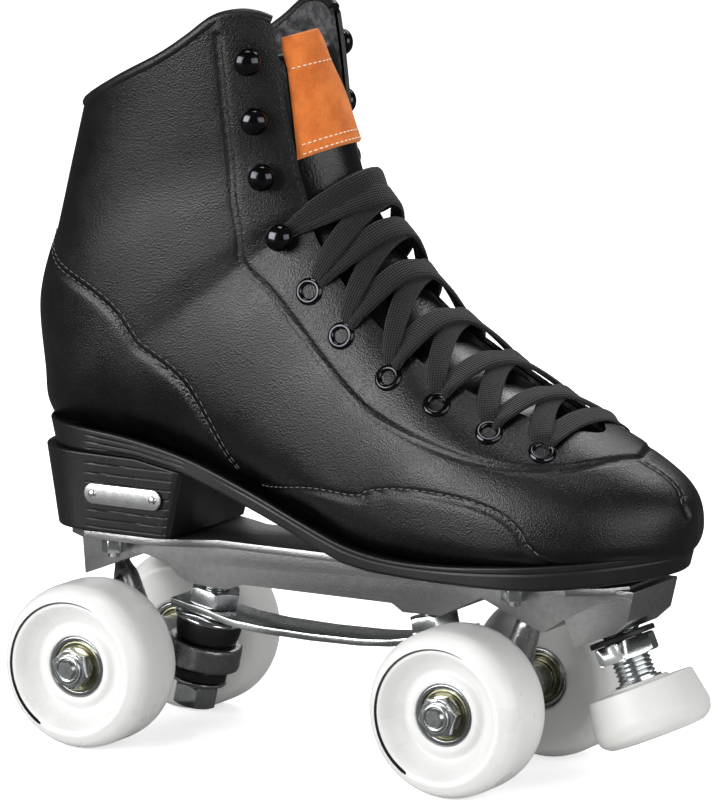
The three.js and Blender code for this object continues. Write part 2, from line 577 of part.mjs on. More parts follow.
// ---------------------------------------------------------------- trucks
function makeHanger() {
  const sideways = new THREE.Vector3(0, 1, 0);
  const { radius } = housing;
  const end = housingHalfLength;
  const neck = radius - 1.5;
  const barrel = [[0, -end], [neck, -end], [neck, -end + 4], [radius, -end + 9],
    [radius, end - 9], [neck, end - 4], [neck, end], [0, end]];
  const tube = along(turned(barrel, 16), axleCentre, sideways);
  const armAxis = ringCentre.clone().sub(axleCentre);
  const arm = along(cylinder(radius - 0.5, 0, armAxis.length() - 8, 12, 3.4), axleCentre, armAxis);
  const boss = along(cylinder(ring.radius, -ring.halfHeight, ring.halfHeight, 20), ringCentre, kingpinUp);
  const reach = pivotCentre.distanceTo(axleCentre);
  const pinProfile = [[0, 0], [6.5, 0], [4.6, reach - 9], [pivot.neck, reach - 5]];
  const ballPoint = (a) => [pivot.ball * Math.cos(a), reach + pivot.ball * Math.sin(a)];
  const ball = spread(-0.8, Math.PI / 2, 5).map(ballPoint);
  ball[ball.length - 1][0] = 0;
  const pin = along(turned([...pinProfile, ...ball], 10), axleCentre, pivotUp);
  const axleBore = along(cylinder(axle.radius + fine, -end - 5, end + 5, 24), axleCentre, sideways);
  const ringBore = along(cylinder(ring.bore, -20, 20, 16), ringCentre, kingpinUp);
  const cushionSpace = [[-40, -ring.halfHeight, lowerCup.radius], [ring.halfHeight, 40, upperCup.radius]].map(
    ([low, high, radiusInside]) => along(cylinder(radiusInside + 1.5, low, high, 20), ringCentre, kingpinUp));
  return cut(join(tube, arm, boss, pin), axleBore, ringBore, ...cushionSpace);
}

function makePivotCup() {
  const { cup, cupDepth } = pivot;
  const bore = pivot.ball + 1.5 * gap;
  const dome = spread(Math.PI / 2, 0, 3).map((a) => [bore * Math.cos(a), bore * Math.sin(a)]);
  dome[0][0] = 0;
  const profile = [[0, cupDepth], [cup, cupDepth], [cup, -3], [bore + 0.6, -3], ...dome.reverse()];
  return along(turned(profile, 16), pivotCentre, pivotUp);
}

function makeBrace() {
  const half = brace.thickness / 2;
  const end = ringCentre.clone().addScaledVector(kingpinUp, stack.braceTop - half);
  const slope = new THREE.Vector3(Math.cos(kingpin.lean), 0, -Math.sin(kingpin.lean));
  const outer = end.clone().addScaledVector(slope, -12);
  const inner = end.clone().addScaledVector(slope, 14);
  const bow = [[inner.x, 0], [inner.x * 0.6, 0.37], [0, 0.5], [-inner.x * 0.6, 0.37], [-inner.x, 0]];
  const line = smooth(bow.map(([x, share]) => [x, inner.z - brace.sag * share]), 12);
  const route = [[outer.x, outer.z], ...line, [-outer.x, outer.z]];
  const topEdge = route.map(([x, z]) => [x, z + half]);
  const lowEdge = route.map(([x, z]) => [x, z - half]).reverse();
  const strip = sideSolid([...topEdge, ...lowEdge], brace.width / 2);
  const hole = kingpinHole(fine + 0.1, 0, stack.boss);
  return cut(strip, hole, mirrored(hole));
}

// One truck at the heel; the toe's truck is the same pieces turned half round.
function addTruck(end, turn) {
  const seat = new THREE.Group();
  seat.rotation.z = turn;
  parts.add(seat);
  const onPin = (geometry) => along(geometry, ringCentre, kingpinUp);
  const bore = kingpin.radius + gap;
  add(`${end}_truck_hanger`, makeHanger(), materials.castAluminium, seat);
  add(`${end}_pivot_cup`, makePivotCup(), materials.blackRubber, seat);
  const bolt = join(cylinder(kingpin.radius, stack.headTop - 2, stack.pinTop, 24),
    hexagon(kingpin.headFlats, stack.headTop - kingpin.headHeight, stack.headTop));
  add(`${end}_kingpin`, onPin(bolt), materials.zinc, seat);
  add(`${end}_lower_cup_washer`, onPin(ringSolid(lowerCup.radius, bore, stack.lowerCupBottom,
    stack.lowerCupBottom + lowerCup.height, 16)), materials.chrome, seat);
  add(`${end}_lower_cushion`, onPin(ringSolid(lowerCushion.radius, bore, stack.lowerCushionBottom,
    stack.lowerCushionTop, 16)), materials.blackRubber, seat);
  const { upperCushionBottom: low, upperCushionTop: high } = stack;
  const { radius, topRadius } = upperCushion;
  const cushion = [[bore, low], [radius, low], [topRadius, high], [bore, high], [bore, low]];
  add(`${end}_upper_cushion`, onPin(turned(cushion, 16)), materials.blackRubber, seat);
  add(`${end}_upper_cup_washer`, onPin(ringSolid(upperCup.radius, bore, stack.upperCupTop - upperCup.height,
    stack.upperCupTop, 18)), materials.chrome, seat);
  add(`${end}_lock_nut`, onPin(hexagon(lockNut.flats, stack.nutTop - lockNut.height, stack.nutTop,
    kingpin.radius + gap)), materials.zinc, seat);
  const shaft = cylinder(axle.radius, -axleHalfLength, axleHalfLength, 24);
  add(`${end}_axle`, along(shaft, axleCentre, new THREE.Vector3(0, 1, 0)), materials.zinc, seat);
}

// ---------------------------------------------------------------- wheels
function makeWheel() {
  const { radius, outset, halfWidth, lip, dish, dishRim, sides } = wheel;
  const outerFace = outset + halfWidth;
  const innerFace = outset - halfWidth;
  const hole = bearing.radius + fine;
  const rib = bearing.radius - 2;
  const spacer = bearing.spacer / 2 - gap;
  const round = (x, y, angle) => [x + 5 * Math.cos(angle), y + 5 * Math.sin(angle)];
  const profile = [
    [hole, hubDepth + 0.6], [lip, hubDepth + 0.6], [dish, hubDepth - 1.2], [dishRim, outerFace],
    round(radius - 5, outerFace - 5, 0.8), [radius, outerFace - 7],
    [radius, innerFace + 7], round(radius - 5, innerFace + 5, -0.8), [dishRim, innerFace], [hole, innerFace],
    [hole, -spacer], [rib, -spacer], [rib, spacer], [hole, spacer], [hole, hubDepth + 0.6],
  ];
  const flat = 1 / Math.cos(Math.PI / sides);
  const circumscribed = profile.map(([r, y]) => [r > hole + 0.1 ? r * flat : r, y]);
  return turnedAboutY(circumscribed, sides).rotateY(Math.PI / sides);
}

function makeBearing() {
  const { radius, bore, width, sides } = bearing;
  const half = width / 2;
  const face = half - 0.5;
  const profile = [[bore, -half], [radius, -half], [radius, half], [radius - 1.8, face], [bore + 2, face],
    [bore, half], [bore, -half]];
  return turnedAboutY(profile, sides);
}

function addWheel(end, x, sideName, side) {
  const hub = new THREE.Group();
  hub.position.set(x, side * track / 2, axleHeight);
  hub.rotation.z = side > 0 ? 0 : Math.PI;
  parts.add(hub);
  add(`${end}_${sideName}_wheel`, makeWheel(), materials.urethane, hub);
  const outer = add(`${end}_${sideName}_outboard_bearing`, makeBearing(), materials.zinc, hub);
  outer.position.y = bearingOffset;
  const inner = add(`${end}_${sideName}_inboard_bearing`, makeBearing(), materials.zinc, hub);
  inner.position.y = -bearingOffset;
  inner.rotation.x = Math.PI;
  const nut = hexagon(axleNut.flats, hubFace + gap, hubFace + gap + axleNut.height, axle.radius + gap);
  const seat = new THREE.Vector3(x, 0, axleHeight);
  add(`${end}_${sideName}_axle_nut`, along(nut, seat, new THREE.Vector3(0, side, 0)), materials.zinc);
}

// ---------------------------------------------------------------- toe stop
function addToeStop() {
  const onAxis = (geometry) => along(geometry, stopSeat, stopAxis);
  const washerEnd = gap + toeStop.washerHeight;
  const nutStart = washerEnd + gap;
  const nutEnd = nutStart + toeStop.nutHeight;
  const hole = toeStop.stem + gap;
  add('toe_stop_washer', onAxis(ringSolid(toeStop.washer, hole, gap, washerEnd, 28)), materials.blackRubber);
  add('toe_stop_jam_nut', onAxis(hexagon(toeStop.nutFlats, nutStart, nutEnd, hole)), materials.chrome);
  const { stem, stemUp, collar, padStart, padTop, padRadius, padHeight } = toeStop;
  const bolt = [[0, -stemUp], [stem, -stemUp], [stem, padStart - 2], [collar, padStart - 2],
    [collar, padStart + 2], [0, padStart + 2]];
  add('toe_stop_stem', onAxis(turned(bolt, 24)), materials.zinc);
  const bottom = padStart + padHeight;
  const socket = [[0, padStart + 2 + gap], [collar + gap, padStart + 2 + gap], [collar + gap, padStart]];
  const rubber = [[padTop, padStart], [padRadius, bottom - 6], [padRadius - 1.2, bottom - 3],
    [padRadius - 4.5, bottom - 0.8], [padRadius - 8.5, bottom], [0, bottom]];
  add('toe_stop_pad', onAxis(turned([...socket, ...rubber], 26)), materials.stopRubber);
}

// ---------------------------------------------------------------- assembly
add('plate', makePlate(), materials.castAluminium);
for (const [end, x] of [['rear', boltX[0]], ['front', boltX[1]]]) {
  for (const [sideName, side] of [['outer', -1], ['inner', 1]]) {
    const bolt = makeMountingBolt().translate(x, side * mountingBolt.y, 0);
    add(`${end}_${sideName}_mounting_bolt`, bolt, materials.zinc);
  }
}
add('kingpin_brace', makeBrace(), materials.zinc);
addTruck('rear', 0);
addTruck('front', Math.PI);
for (const [end, x] of [['rear', -axleX], ['front', axleX]]) {
  addWheel(end, x, 'outer', -1);
  addWheel(end, x, 'inner', 1);
}
addToeStop();

const clearOfUpper = bootBody(-gap, -0.004, upper.end);
add('outsole', makeOutsole(clearOfUpper), materials.soleRubber);
add('heel', makeHeel(), materials.soleRubber);
add('heel_badge', makeBadge(), materials.chrome);
add('boot_upper', makeUpper(), materials.leather);
add('insole', makeInsole(), materials.felt);
add('tongue', makeTongue(), materials.tongueLeather);
add('tongue_tab', makeTab(), materials.suede);
add('lace', makeLace(), materials.lace);
hooks.forEach((place, i) => {
  add(`outer_lace_hook_${i + 1}`, makeHook(place), materials.blackNickel);
  add(`inner_lace_hook_${i + 1}`, makeHook(farSide(place)), materials.blackNickel);
});

// The finished skate stands over the middle of its own footprint.
const skate = new THREE.Group();
skate.add(parts);
const extent = new THREE.Box3().setFromObject(skate, true);
parts.position.set(-(extent.min.x + extent.max.x) / 2, -(extent.min.y + extent.max.y) / 2, -extent.min.z);

export default skate;
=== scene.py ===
# %% [markdown]
# # A quad roller skate, modelled piece by piece
# The skate is a lace-up boot on a cast plate. Two sprung trucks hang under the plate, each with an axle
# and two wheels, and a rubber toe stop screws into the plate's nose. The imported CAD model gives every
# size and place. This lesson builds the pieces that show, one finish at a time.

import math
import random

import bmesh
import bpy
import numpy as np
from mathutils import Matrix, Vector
from mathutils.kdtree import KDTree


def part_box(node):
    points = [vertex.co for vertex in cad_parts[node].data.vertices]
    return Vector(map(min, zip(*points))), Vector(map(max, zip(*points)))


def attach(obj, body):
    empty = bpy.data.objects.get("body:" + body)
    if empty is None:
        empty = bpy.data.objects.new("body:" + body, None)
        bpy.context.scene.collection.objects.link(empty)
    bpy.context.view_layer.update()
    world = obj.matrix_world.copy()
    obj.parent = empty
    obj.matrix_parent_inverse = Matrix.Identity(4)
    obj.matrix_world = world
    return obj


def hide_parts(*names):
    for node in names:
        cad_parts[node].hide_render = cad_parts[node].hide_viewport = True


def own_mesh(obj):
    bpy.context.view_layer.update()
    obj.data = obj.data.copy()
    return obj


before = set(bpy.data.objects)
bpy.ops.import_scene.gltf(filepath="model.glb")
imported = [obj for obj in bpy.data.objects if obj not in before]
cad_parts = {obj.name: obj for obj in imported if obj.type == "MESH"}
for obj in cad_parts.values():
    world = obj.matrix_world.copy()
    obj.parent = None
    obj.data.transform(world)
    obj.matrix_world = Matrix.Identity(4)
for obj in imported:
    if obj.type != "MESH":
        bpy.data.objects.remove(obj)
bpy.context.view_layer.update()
bpy.ops.object.select_all(action="DESELECT")

# %% [markdown]
# ## Shared measures
# Everything is in metres, so one millimetre gets a name. The row frame has its origin under the middle of
# the skate's box. The boot is easier to describe from the middle of the wheelbase, so the shift between
# the two is read from the axles.

# %% Measures that every piece uses
MM = 0.001


def middle(node):
    low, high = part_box(node)
    return (low + high) / 2


rear_axle = middle("rear_axle")
front_axle = middle("front_axle")
HALF_BASE = (front_axle.x - rear_axle.x) / 2
MIDDLE_X = (front_axle.x + rear_axle.x) / 2
AXLE_Z = rear_axle.z
PLATE_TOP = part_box("plate")[1].z
print("half wheelbase", round(HALF_BASE, 4), "plate top", round(PLATE_TOP, 4))

# %% [markdown]
# ## Camera, light and floor
# A long lens from far away keeps the skate's lines nearly parallel, as in a catalogue picture. A big soft
# box low at the left draws the broad sheen on the leather, one beyond the toe lights round metal from
# the other side, and a pale floor throws light back up under the plate. To glossy rays that floor is
# mid grey, so that the black leather doesn't mirror it.

# %% Camera
AZIMUTH = math.radians(29.66)
ELEVATION = math.radians(10.23)
ROLL = math.radians(0.393)
DISTANCE = 2.5
back = Vector((math.sin(AZIMUTH) * math.cos(ELEVATION), -math.cos(AZIMUTH) * math.cos(ELEVATION),
               math.sin(ELEVATION)))
level = Vector((math.cos(AZIMUTH), math.sin(AZIMUTH), 0))
upright = back.cross(level)
right = level * math.cos(ROLL) + upright * math.sin(ROLL)
top = upright * math.cos(ROLL) - level * math.sin(ROLL)
bpy.ops.object.camera_add()
camera = bpy.context.object
camera.data.sensor_width = 36
camera.data.lens = 315.8
camera.data.shift_x = 0.0418
camera.data.shift_y = -0.0068
camera.data.clip_end = 20
target = Vector((MIDDLE_X, 0, 0.129))
turn = Matrix((right, top, back)).transposed()
camera.matrix_world = Matrix.Translation(target + back * DISTANCE) @ turn.to_4x4()
bpy.context.scene.camera = camera
print("camera at", [round(x, 3) for x in camera.location])

# %% Floor, world and lamps


def linear(hex_colour):
    """A colour written as sRGB hex, in the linear values that a shader takes."""
    parts = [int(hex_colour[i:i + 2], 16) / 255 for i in (1, 3, 5)]
    return tuple(p / 12.92 if p <= 0.04045 else ((p + 0.055) / 1.055) ** 2.4 for p in parts) + (1,)


def add_node(tree, kind, values=None, links=None, **settings):
    """Adds one shader node: `values` go on its sockets, `links` join sockets, `settings` are its options."""
    node = tree.nodes.new("ShaderNode" + kind)
    for name, value in settings.items():
        setattr(node, name, value)
    for name, value in (values or {}).items():
        node.inputs[name].default_value = value
    for name, socket in (links or {}).items():
        tree.links.new(socket, node.inputs[name])
    return node


def new_material(name):
    """An empty material with an output, a Principled shader and Object coordinates."""
    made = bpy.data.materials.new(name)
    made.use_nodes = True
    tree = made.node_tree
    shader = tree.nodes["Principled BSDF"]
    place = add_node(tree, "TexCoord").outputs["Object"]
    return made, tree, shader, place


bpy.ops.mesh.primitive_plane_add(size=12, location=(0, 0, -0.0003))
floor = bpy.context.object
floor.name = "studio_floor"
pale, tree, shader, place = new_material("pale_studio_paper")
shader.inputs["Base Color"].default_value = linear("#F4F4F3")
shader.inputs["Roughness"].default_value = 0.9
shader.inputs["Specular IOR Level"].default_value = 0.0
shader.inputs["Emission Color"].default_value = (1, 1, 1, 1)
path = add_node(tree, "LightPath").outputs
tone = {6: linear("#F4F4F3"), 7: linear("#565656")}
shade = add_node(tree, "Mix", tone, {0: path["Is Glossy Ray"]}, data_type="RGBA").outputs[2]
tree.links.new(shade, shader.inputs["Base Color"])
glow = add_node(tree, "Math", {1: 0.62}, {0: path["Is Camera Ray"]}, operation="MULTIPLY").outputs[0]
tree.links.new(glow, shader.inputs["Emission Strength"])
floor.data.materials.append(pale)

world = bpy.data.worlds.new("studio")
bpy.context.scene.world = world
world.use_nodes = True
tree = world.node_tree
glossy = add_node(tree, "LightPath").outputs["Is Glossy Ray"]
strength = add_node(tree, "MapRange", {3: 0.5, 4: 0.07}, {0: glossy}).outputs[0]
tree.nodes["Background"].inputs["Color"].default_value = (1, 1, 1, 1)
tree.links.new(strength, tree.nodes["Background"].inputs["Strength"])

LAMPS = [  # name, place, size across and up, watts
    ("toe_side_soft_box", (1.65, -0.35, 0.55), (2.0, 0.9), 14),
    ("key_soft_box", (-0.72, -1.39, 0.6), (1.3, 0.95), 28),
    ("rim_panel", (-0.1, 1.3, 1.35), (1.4, 0.5), 13),
    ("top_panel", (0.0, -0.1, 2.0), (0.6, 0.6), 7),
]
for name, where, (wide, tall), watts in LAMPS:
    bpy.ops.object.light_add(type="AREA", location=where)
    lamp = bpy.context.object
    lamp.name = name
    lamp.data.shape = "RECTANGLE"
    lamp.data.size = wide
    lamp.data.size_y = tall
    lamp.data.energy = watts
    aim = Vector((MIDDLE_X, 0, 0.12)) - Vector(where)
    lamp.rotation_euler = aim.to_track_quat("-Z", "Y").to_euler()
bpy.context.scene.view_settings.view_transform = "Standard"
print("lamps:", len(LAMPS))

# %% [markdown]
# ## Finishes
# Each finish starts from what the real one is and how its surface was made. Patterns are sized in
# millimetres: a texture's scale is one over the pattern's size in metres.

# %% Sizes to scales, mixed colours, and a bump that adds up


def per(size_mm):
    """The texture scale that repeats a pattern every `size_mm` millimetres."""
    return 1 / (size_mm * MM)


def toned(tree, shader, dark, light, share):
    """Colours the shader between two sRGB hex values, by a 0 to 1 socket."""
    tone = add_node(tree, "Mix", {6: linear(dark), 7: linear(light)}, {0: share}, data_type="RGBA")
    tree.links.new(tone.outputs[2], shader.inputs["Base Color"])


def spread_to(tree, socket, low, high, dull, bright):
    """The same pattern, with `low` to `high` stretched to `dull` to `bright`."""
    return add_node(tree, "MapRange", {1: low, 2: high, 3: dull, 4: bright}, {0: socket}).outputs[0]


def bumped(tree, shader, layers):
    """Joins height patterns, each (socket, height in mm), into the shader's normal."""
    normal = None
    for height, depth in layers:
        links = {"Height": height}
        if normal is not None:
            links["Normal"] = normal
        normal = add_node(tree, "Bump", {"Distance": depth * MM, "Strength": 1.0}, links).outputs["Normal"]
    tree.links.new(normal, shader.inputs["Normal"])
    return normal


# %% [markdown]
# ### Leathers
# The boot is split leather with a black polyurethane coat, pressed with a pebble grain of about half a
# millimetre. The coat gives a half-gloss sheen that breaks into sparks on the pebbles. The tongue has
# the same coat, smoother and glossier. The tab is brushed suede, which is all tiny fibres: no gloss, a
# soft sheen and clouds of lighter and darker nap.

# %% Coated leather


def coated_leather(name, base, crease_rise_colour, rough, grain_mm, grain_depth, seams=False):
    made, tree, shader, place = new_material(name)
    cell = add_node(tree, "TexVoronoi", {"Scale": per(grain_mm), "Randomness": 1.0}, {"Vector": place},
                    feature="SMOOTH_F1")
    cell.inputs["Smoothness"].default_value = 0.35
    fine = add_node(tree, "TexNoise", {"Scale": per(0.35), "Detail": 2.0}, {"Vector": place})
    crease = add_node(tree, "TexNoise", {"Scale": per(14), "Detail": 4.0, "Roughness": 0.55},
                      {"Vector": place})
    soft = add_node(tree, "TexNoise", {"Scale": per(45), "Detail": 1.0}, {"Vector": place})
    layers = [(soft.outputs["Fac"], 0.35), (crease.outputs["Fac"], 0.1)]
    if seams:
        groove = add_node(tree, "Attribute", attribute_name="seam_mm").outputs["Fac"]
        dip = add_node(tree, "MapRange", {"From Min": 0.0, "From Max": 2.4, "To Min": 0.0, "To Max": 1.0},
                       {"Value": groove}, interpolation_type="SMOOTHSTEP")
        layers.append((dip.outputs["Result"], 0.4))
    layers += [(cell.outputs["Distance"], grain_depth), (fine.outputs["Fac"], grain_depth * 0.5)]
    bumped(tree, shader, layers)
    # The colour follows the crease pattern: darker in its hollows and lighter on its rises.
    toned(tree, shader, base, crease_rise_colour, spread_to(tree, crease.outputs["Fac"], 0.35, 0.7, 0.0, 1.0))
    gloss = spread_to(tree, crease.outputs["Fac"], 0.3, 0.7, rough - 0.05, rough + 0.07)
    tree.links.new(gloss, shader.inputs["Roughness"])
    shader.inputs["Specular IOR Level"].default_value = 0.5
    shader.inputs["IOR"].default_value = 1.5
    return made


boot_leather = coated_leather("pebbled_coated_leather", "#040405", "#080809", 0.34, 0.55, 0.11, seams=True)
tongue_leather = coated_leather("smooth_coated_leather", "#070708", "#0C0C0D", 0.28, 0.9, 0.07)
binding_leather = coated_leather("collar_binding_leather", "#0A0A0B", "#161617", 0.42, 0.8, 0.1)

# %% Suede
suede, tree, shader, place = new_material("brushed_tan_suede")
nap = add_node(tree, "TexNoise", {"Scale": per(0.45), "Detail": 5.0, "Roughness": 0.7}, {"Vector": place})
cloud = add_node(tree, "TexNoise", {"Scale": per(7), "Detail": 5.0, "Roughness": 0.6}, {"Vector": place})
tone = add_node(tree, "Math", {1: 0.55}, {0: nap.outputs["Fac"]}, operation="MULTIPLY")
total = add_node(tree, "Math", {2: 0.0}, {0: cloud.outputs["Fac"], 1: tone.outputs[0]}, operation="ADD")
toned(tree, shader, "#A9541F", "#DB7C3C", spread_to(tree, total.outputs[0], 0.5, 1.05, 0.0, 1.0))
bumped(tree, shader, [(nap.outputs["Fac"], 0.25)])
shader.inputs["Roughness"].default_value = 0.95
shader.inputs["Specular IOR Level"].default_value = 0.2
shader.inputs["Sheen Weight"].default_value = 0.35
shader.inputs["Sheen Roughness"].default_value = 0.5
shader.inputs["Sheen Tint"].default_value = linear("#FFC79A")

# %% [markdown]
# ### Cloths
# The lining is a heathered felt: pressed wool fibres, charcoal with lighter flecks. The laces are flat
# woven cotton, whose warp runs in fine ribs along the length, crossed by the weft. The threads are bonded
# nylon: black on the facings and waxed cream on the tab. On the counter, the wing, the back and the toe
# the black thread is coloured dark grey, a painted highlight.

# %% Felt, lace and thread
felt, tree, shader, place = new_material("heathered_felt_lining")
fibre = add_node(tree, "TexNoise", {"Scale": per(0.7), "Detail": 6.0, "Roughness": 0.75, "Distortion": 1.4},
                 {"Vector": place})
patch = add_node(tree, "TexNoise", {"Scale": per(3.5), "Detail": 4.0}, {"Vector": place})
fleck = add_node(tree, "Math", None, {0: fibre.outputs["Fac"], 1: patch.outputs["Fac"]},
                 operation="MULTIPLY")
toned(tree, shader, "#1A1A1C", "#6C6D70", spread_to(tree, fleck.outputs[0], 0.2, 0.42, 0.0, 1.0))
bumped(tree, shader, [(patch.outputs["Fac"], 0.4), (fibre.outputs["Fac"], 0.5)])
shader.inputs["Roughness"].default_value = 1.0
shader.inputs["Specular IOR Level"].default_value = 0.1
shader.inputs["Sheen Weight"].default_value = 0.25

lace_weave, tree, shader, place = new_material("woven_cotton_lace")
uv = add_node(tree, "UVMap", uv_map="along_across").outputs["UV"]
warp = add_node(tree, "TexWave", {"Scale": 0.33, "Distortion": 0.25, "Detail": 1.0}, {"Vector": uv},
                wave_type="BANDS", bands_direction="Y", wave_profile="SIN")
weft = add_node(tree, "TexWave", {"Scale": 0.3, "Distortion": 0.4, "Detail": 1.0}, {"Vector": uv},
                wave_type="BANDS", bands_direction="X", wave_profile="SIN")
fuzz = add_node(tree, "TexNoise", {"Scale": per(0.5), "Detail": 3.0}, {"Vector": place})
weave_shade_and_highlight = add_node(tree, "Math", None, {0: warp.outputs["Fac"], 1: weft.outputs["Fac"]},
                    operation="MULTIPLY")
# Painted shade and highlight: the black lace is coloured darker in the weave's hollows and lighter on its
# raised crossings.
toned(tree, shader, "#060607", "#1D1D1F", weave_shade_and_highlight.outputs[0])
bumped(tree, shader, [(warp.outputs["Fac"], 0.28), (weft.outputs["Fac"], 0.16), (fuzz.outputs["Fac"], 0.15)])
shader.inputs["Roughness"].default_value = 0.82
shader.inputs["Specular IOR Level"].default_value = 0.3
shader.inputs["Sheen Weight"].default_value = 0.12


def thread(name, dark, light):
    made, tree, shader, place = new_material(name)
    ply = add_node(tree, "TexNoise", {"Scale": per(0.6), "Detail": 2.0}, {"Vector": place})
    toned(tree, shader, dark, light, ply.outputs["Fac"])
    bumped(tree, shader, [(ply.outputs["Fac"], 0.1)])
    shader.inputs["Roughness"].default_value = 0.45
    return made


# Painted highlight: this thread is black, coloured dark to light grey along its ply to stand for the sheen on
# it.
painted_highlight_thread = thread("black_thread_painted_grey_highlight", "#303032", "#6C6D70")
black_thread = thread("bonded_black_thread", "#0C0C0D", "#262628")
white_thread = thread("waxed_cream_thread", "#D8C4A8", "#F6ECDC")

# %% [markdown]
# ### Rubbers and urethane
# The sole and heel are moulded thermoplastic rubber: dense black with a satin skin. The cushions and the
# washer under the toe stop are plain black rubber, and the stop itself is an off-white gum rubber. The
# wheels are cast urethane, which lets a little light in, so their shadows stay soft.

# %% Moulded rubbers and cast urethane


def moulded(name, dark, light, rough, grain_mm, depth, scatter=0.0):
    made, tree, shader, place = new_material(name)
    grain = add_node(tree, "TexNoise", {"Scale": per(grain_mm), "Detail": 4.0}, {"Vector": place})
    broad = add_node(tree, "TexNoise", {"Scale": per(20), "Detail": 3.0}, {"Vector": place})
    toned(tree, shader, dark, light, broad.outputs["Fac"])
    gloss = spread_to(tree, broad.outputs["Fac"], 0.3, 0.7, rough - 0.06, rough + 0.06)
    tree.links.new(gloss, shader.inputs["Roughness"])
    bumped(tree, shader, [(grain.outputs["Fac"], depth)])
    if scatter:
        shader.inputs["Subsurface Weight"].default_value = scatter
        shader.inputs["Subsurface Radius"].default_value = (1.0, 0.95, 0.9)
        shader.inputs["Subsurface Scale"].default_value = 0.004
    return made


sole_rubber = moulded("moulded_sole_rubber", "#0B0B0C", "#141415", 0.42, 0.5, 0.06)
black_rubber = moulded("turned_black_rubber", "#0C0C0C", "#161616", 0.5, 0.7, 0.06)
stop_rubber = moulded("gum_stop_rubber", "#C2C2C0", "#CDCDCB", 0.45, 0.8, 0.06, scatter=0.2)
urethane = moulded("cast_white_urethane", "#CECECD", "#D6D6D5", 0.3, 2.5, 0.03, scatter=0.2)
ink = moulded("printed_black_ink", "#070707", "#0E0E0E", 0.4, 1.0, 0.01)

# %% [markdown]
# ### Metals
# The plate is sand-tumbled cast aluminium: mottled, with a pitted skin. The truck hangers are tumbled
# longer, so they are smoother. Nuts, bolts and the brace are bright zinc, and cup washers are chrome.
# Bearings are ground steel with a dull golden shield, and the hooks and eyelets are black nickel.

# %% Metal finishes


def metal(name, dark, light, rough, spread, grain_mm, depth, blotch_mm=6.0):
    made, tree, shader, place = new_material(name)
    grain = add_node(tree, "TexNoise", {"Scale": per(grain_mm), "Detail": 5.0, "Roughness": 0.6},
                     {"Vector": place})
    blotch = add_node(tree, "TexNoise", {"Scale": per(blotch_mm), "Detail": 5.0, "Roughness": 0.65},
                      {"Vector": place})
    toned(tree, shader, dark, light, spread_to(tree, blotch.outputs["Fac"], 0.32, 0.68, 0.0, 1.0))
    gloss = spread_to(tree, blotch.outputs["Fac"], 0.3, 0.7, rough + spread, rough - spread)
    tree.links.new(gloss, shader.inputs["Roughness"])
    bumped(tree, shader, [(grain.outputs["Fac"], depth)])
    shader.inputs["Metallic"].default_value = 1.0
    return made


cast_aluminium = metal("sand_cast_aluminium", "#A8A9A8", "#BEBFBE", 0.36, 0.05, 0.7, 0.12, 2.5)
tumbled_aluminium = metal("tumbled_aluminium", "#A0A1A0", "#BDBEBD", 0.3, 0.05, 1.2, 0.06, 3.0)
zinc = metal("bright_zinc_plate", "#C6CACB", "#DDE0E0", 0.24, 0.05, 1.5, 0.04, 3.0)
chrome = metal("polished_chrome", "#D5D7D8", "#E6E7E8", 0.1, 0.03, 3.0, 0.01)
bearing_steel = metal("ground_bearing_steel", "#9DA0A0", "#C5C7C6", 0.22, 0.05, 1.0, 0.02)
shield_brass = metal("passivated_bearing_shield", "#8A886F", "#ADAB8D", 0.3, 0.06, 1.0, 0.02, 3.0)
black_nickel = metal("black_nickel_plate", "#2E2E31", "#47474B", 0.14, 0.03, 2.0, 0.01)
badge_nickel = metal("brushed_nickel_badge", "#D2D3D3", "#EDEEEE", 0.3, 0.05, 1.2, 0.03, 3.0)
print("finishes:", len(bpy.data.materials))

# %% [markdown]
# ## The boot's shape
# A boot is pulled over a last, a solid foot form, so its surface is one smooth loft: sections from the
# toe over the instep to the collar. Each section is a squashed oval between a point underneath and a
# point on top. Two numbers then name any place on the boot: `s` runs from the toe (0) to the collar (1),
# and `angle` goes round the section from the underside (0) by the outer side (90) to the top (180).
# Every piece of the boot is laid out with them, so the pieces fit each other without measuring.

# %% The last, as sections
SECTIONS = np.array([  # place, underside or back x and height, top or front x and height, half width, in mm
    (0.000, 145.0, 11.0, 147.0, 25.0, 5.0), (0.020, 143.5, 10.5, 144.0, 30.5, 14.0),
    (0.055, 139.5, 9.8, 138.0, 36.5, 23.0), (0.100, 132.0, 8.8, 128.5, 42.0, 31.5),
    (0.150, 120.0, 7.2, 116.0, 48.0, 38.5), (0.210, 103.0, 5.6, 98.5, 55.5, 43.5),
    (0.280, 82.0, 4.0, 77.0, 66.0, 45.5), (0.350, 58.0, 3.3, 57.0, 79.0, 44.0),
    (0.420, 32.0, 4.2, 42.5, 92.0, 39.5), (0.490, 3.0, 12.4, 32.5, 105.0, 35.5),
    (0.550, -27.0, 22.5, 26.0, 114.5, 33.5), (0.610, -62.0, 30.5, 21.0, 122.5, 33.0),
    (0.655, -102.0, 34.5, 18.0, 128.5, 32.5), (0.680, -110.0, 40.5, 16.5, 131.0, 33.0),
    (0.710, -112.0, 53.0, 15.5, 134.5, 33.5), (0.760, -114.5, 79.5, 13.0, 141.0, 33.5),
    (0.820, -107.5, 106.5, 10.0, 150.5, 33.0), (0.880, -101.5, 129.5, 7.0, 163.5, 34.0),
    (0.940, -97.0, 145.5, 4.0, 177.5, 35.0), (1.000, -94.0, 155.5, 0.0, 194.5, 36.0),
    (1.080, -91.5, 169.0, -5.0, 214.0, 37.0)])
WIDEST = np.array([  # place, and where between underside and top the section is widest
    (0, 0.45), (0.055, 0.36), (0.15, 0.3), (0.28, 0.27), (0.42, 0.29), (0.55, 0.38), (0.71, 0.47),
    (1.08, 0.5)])
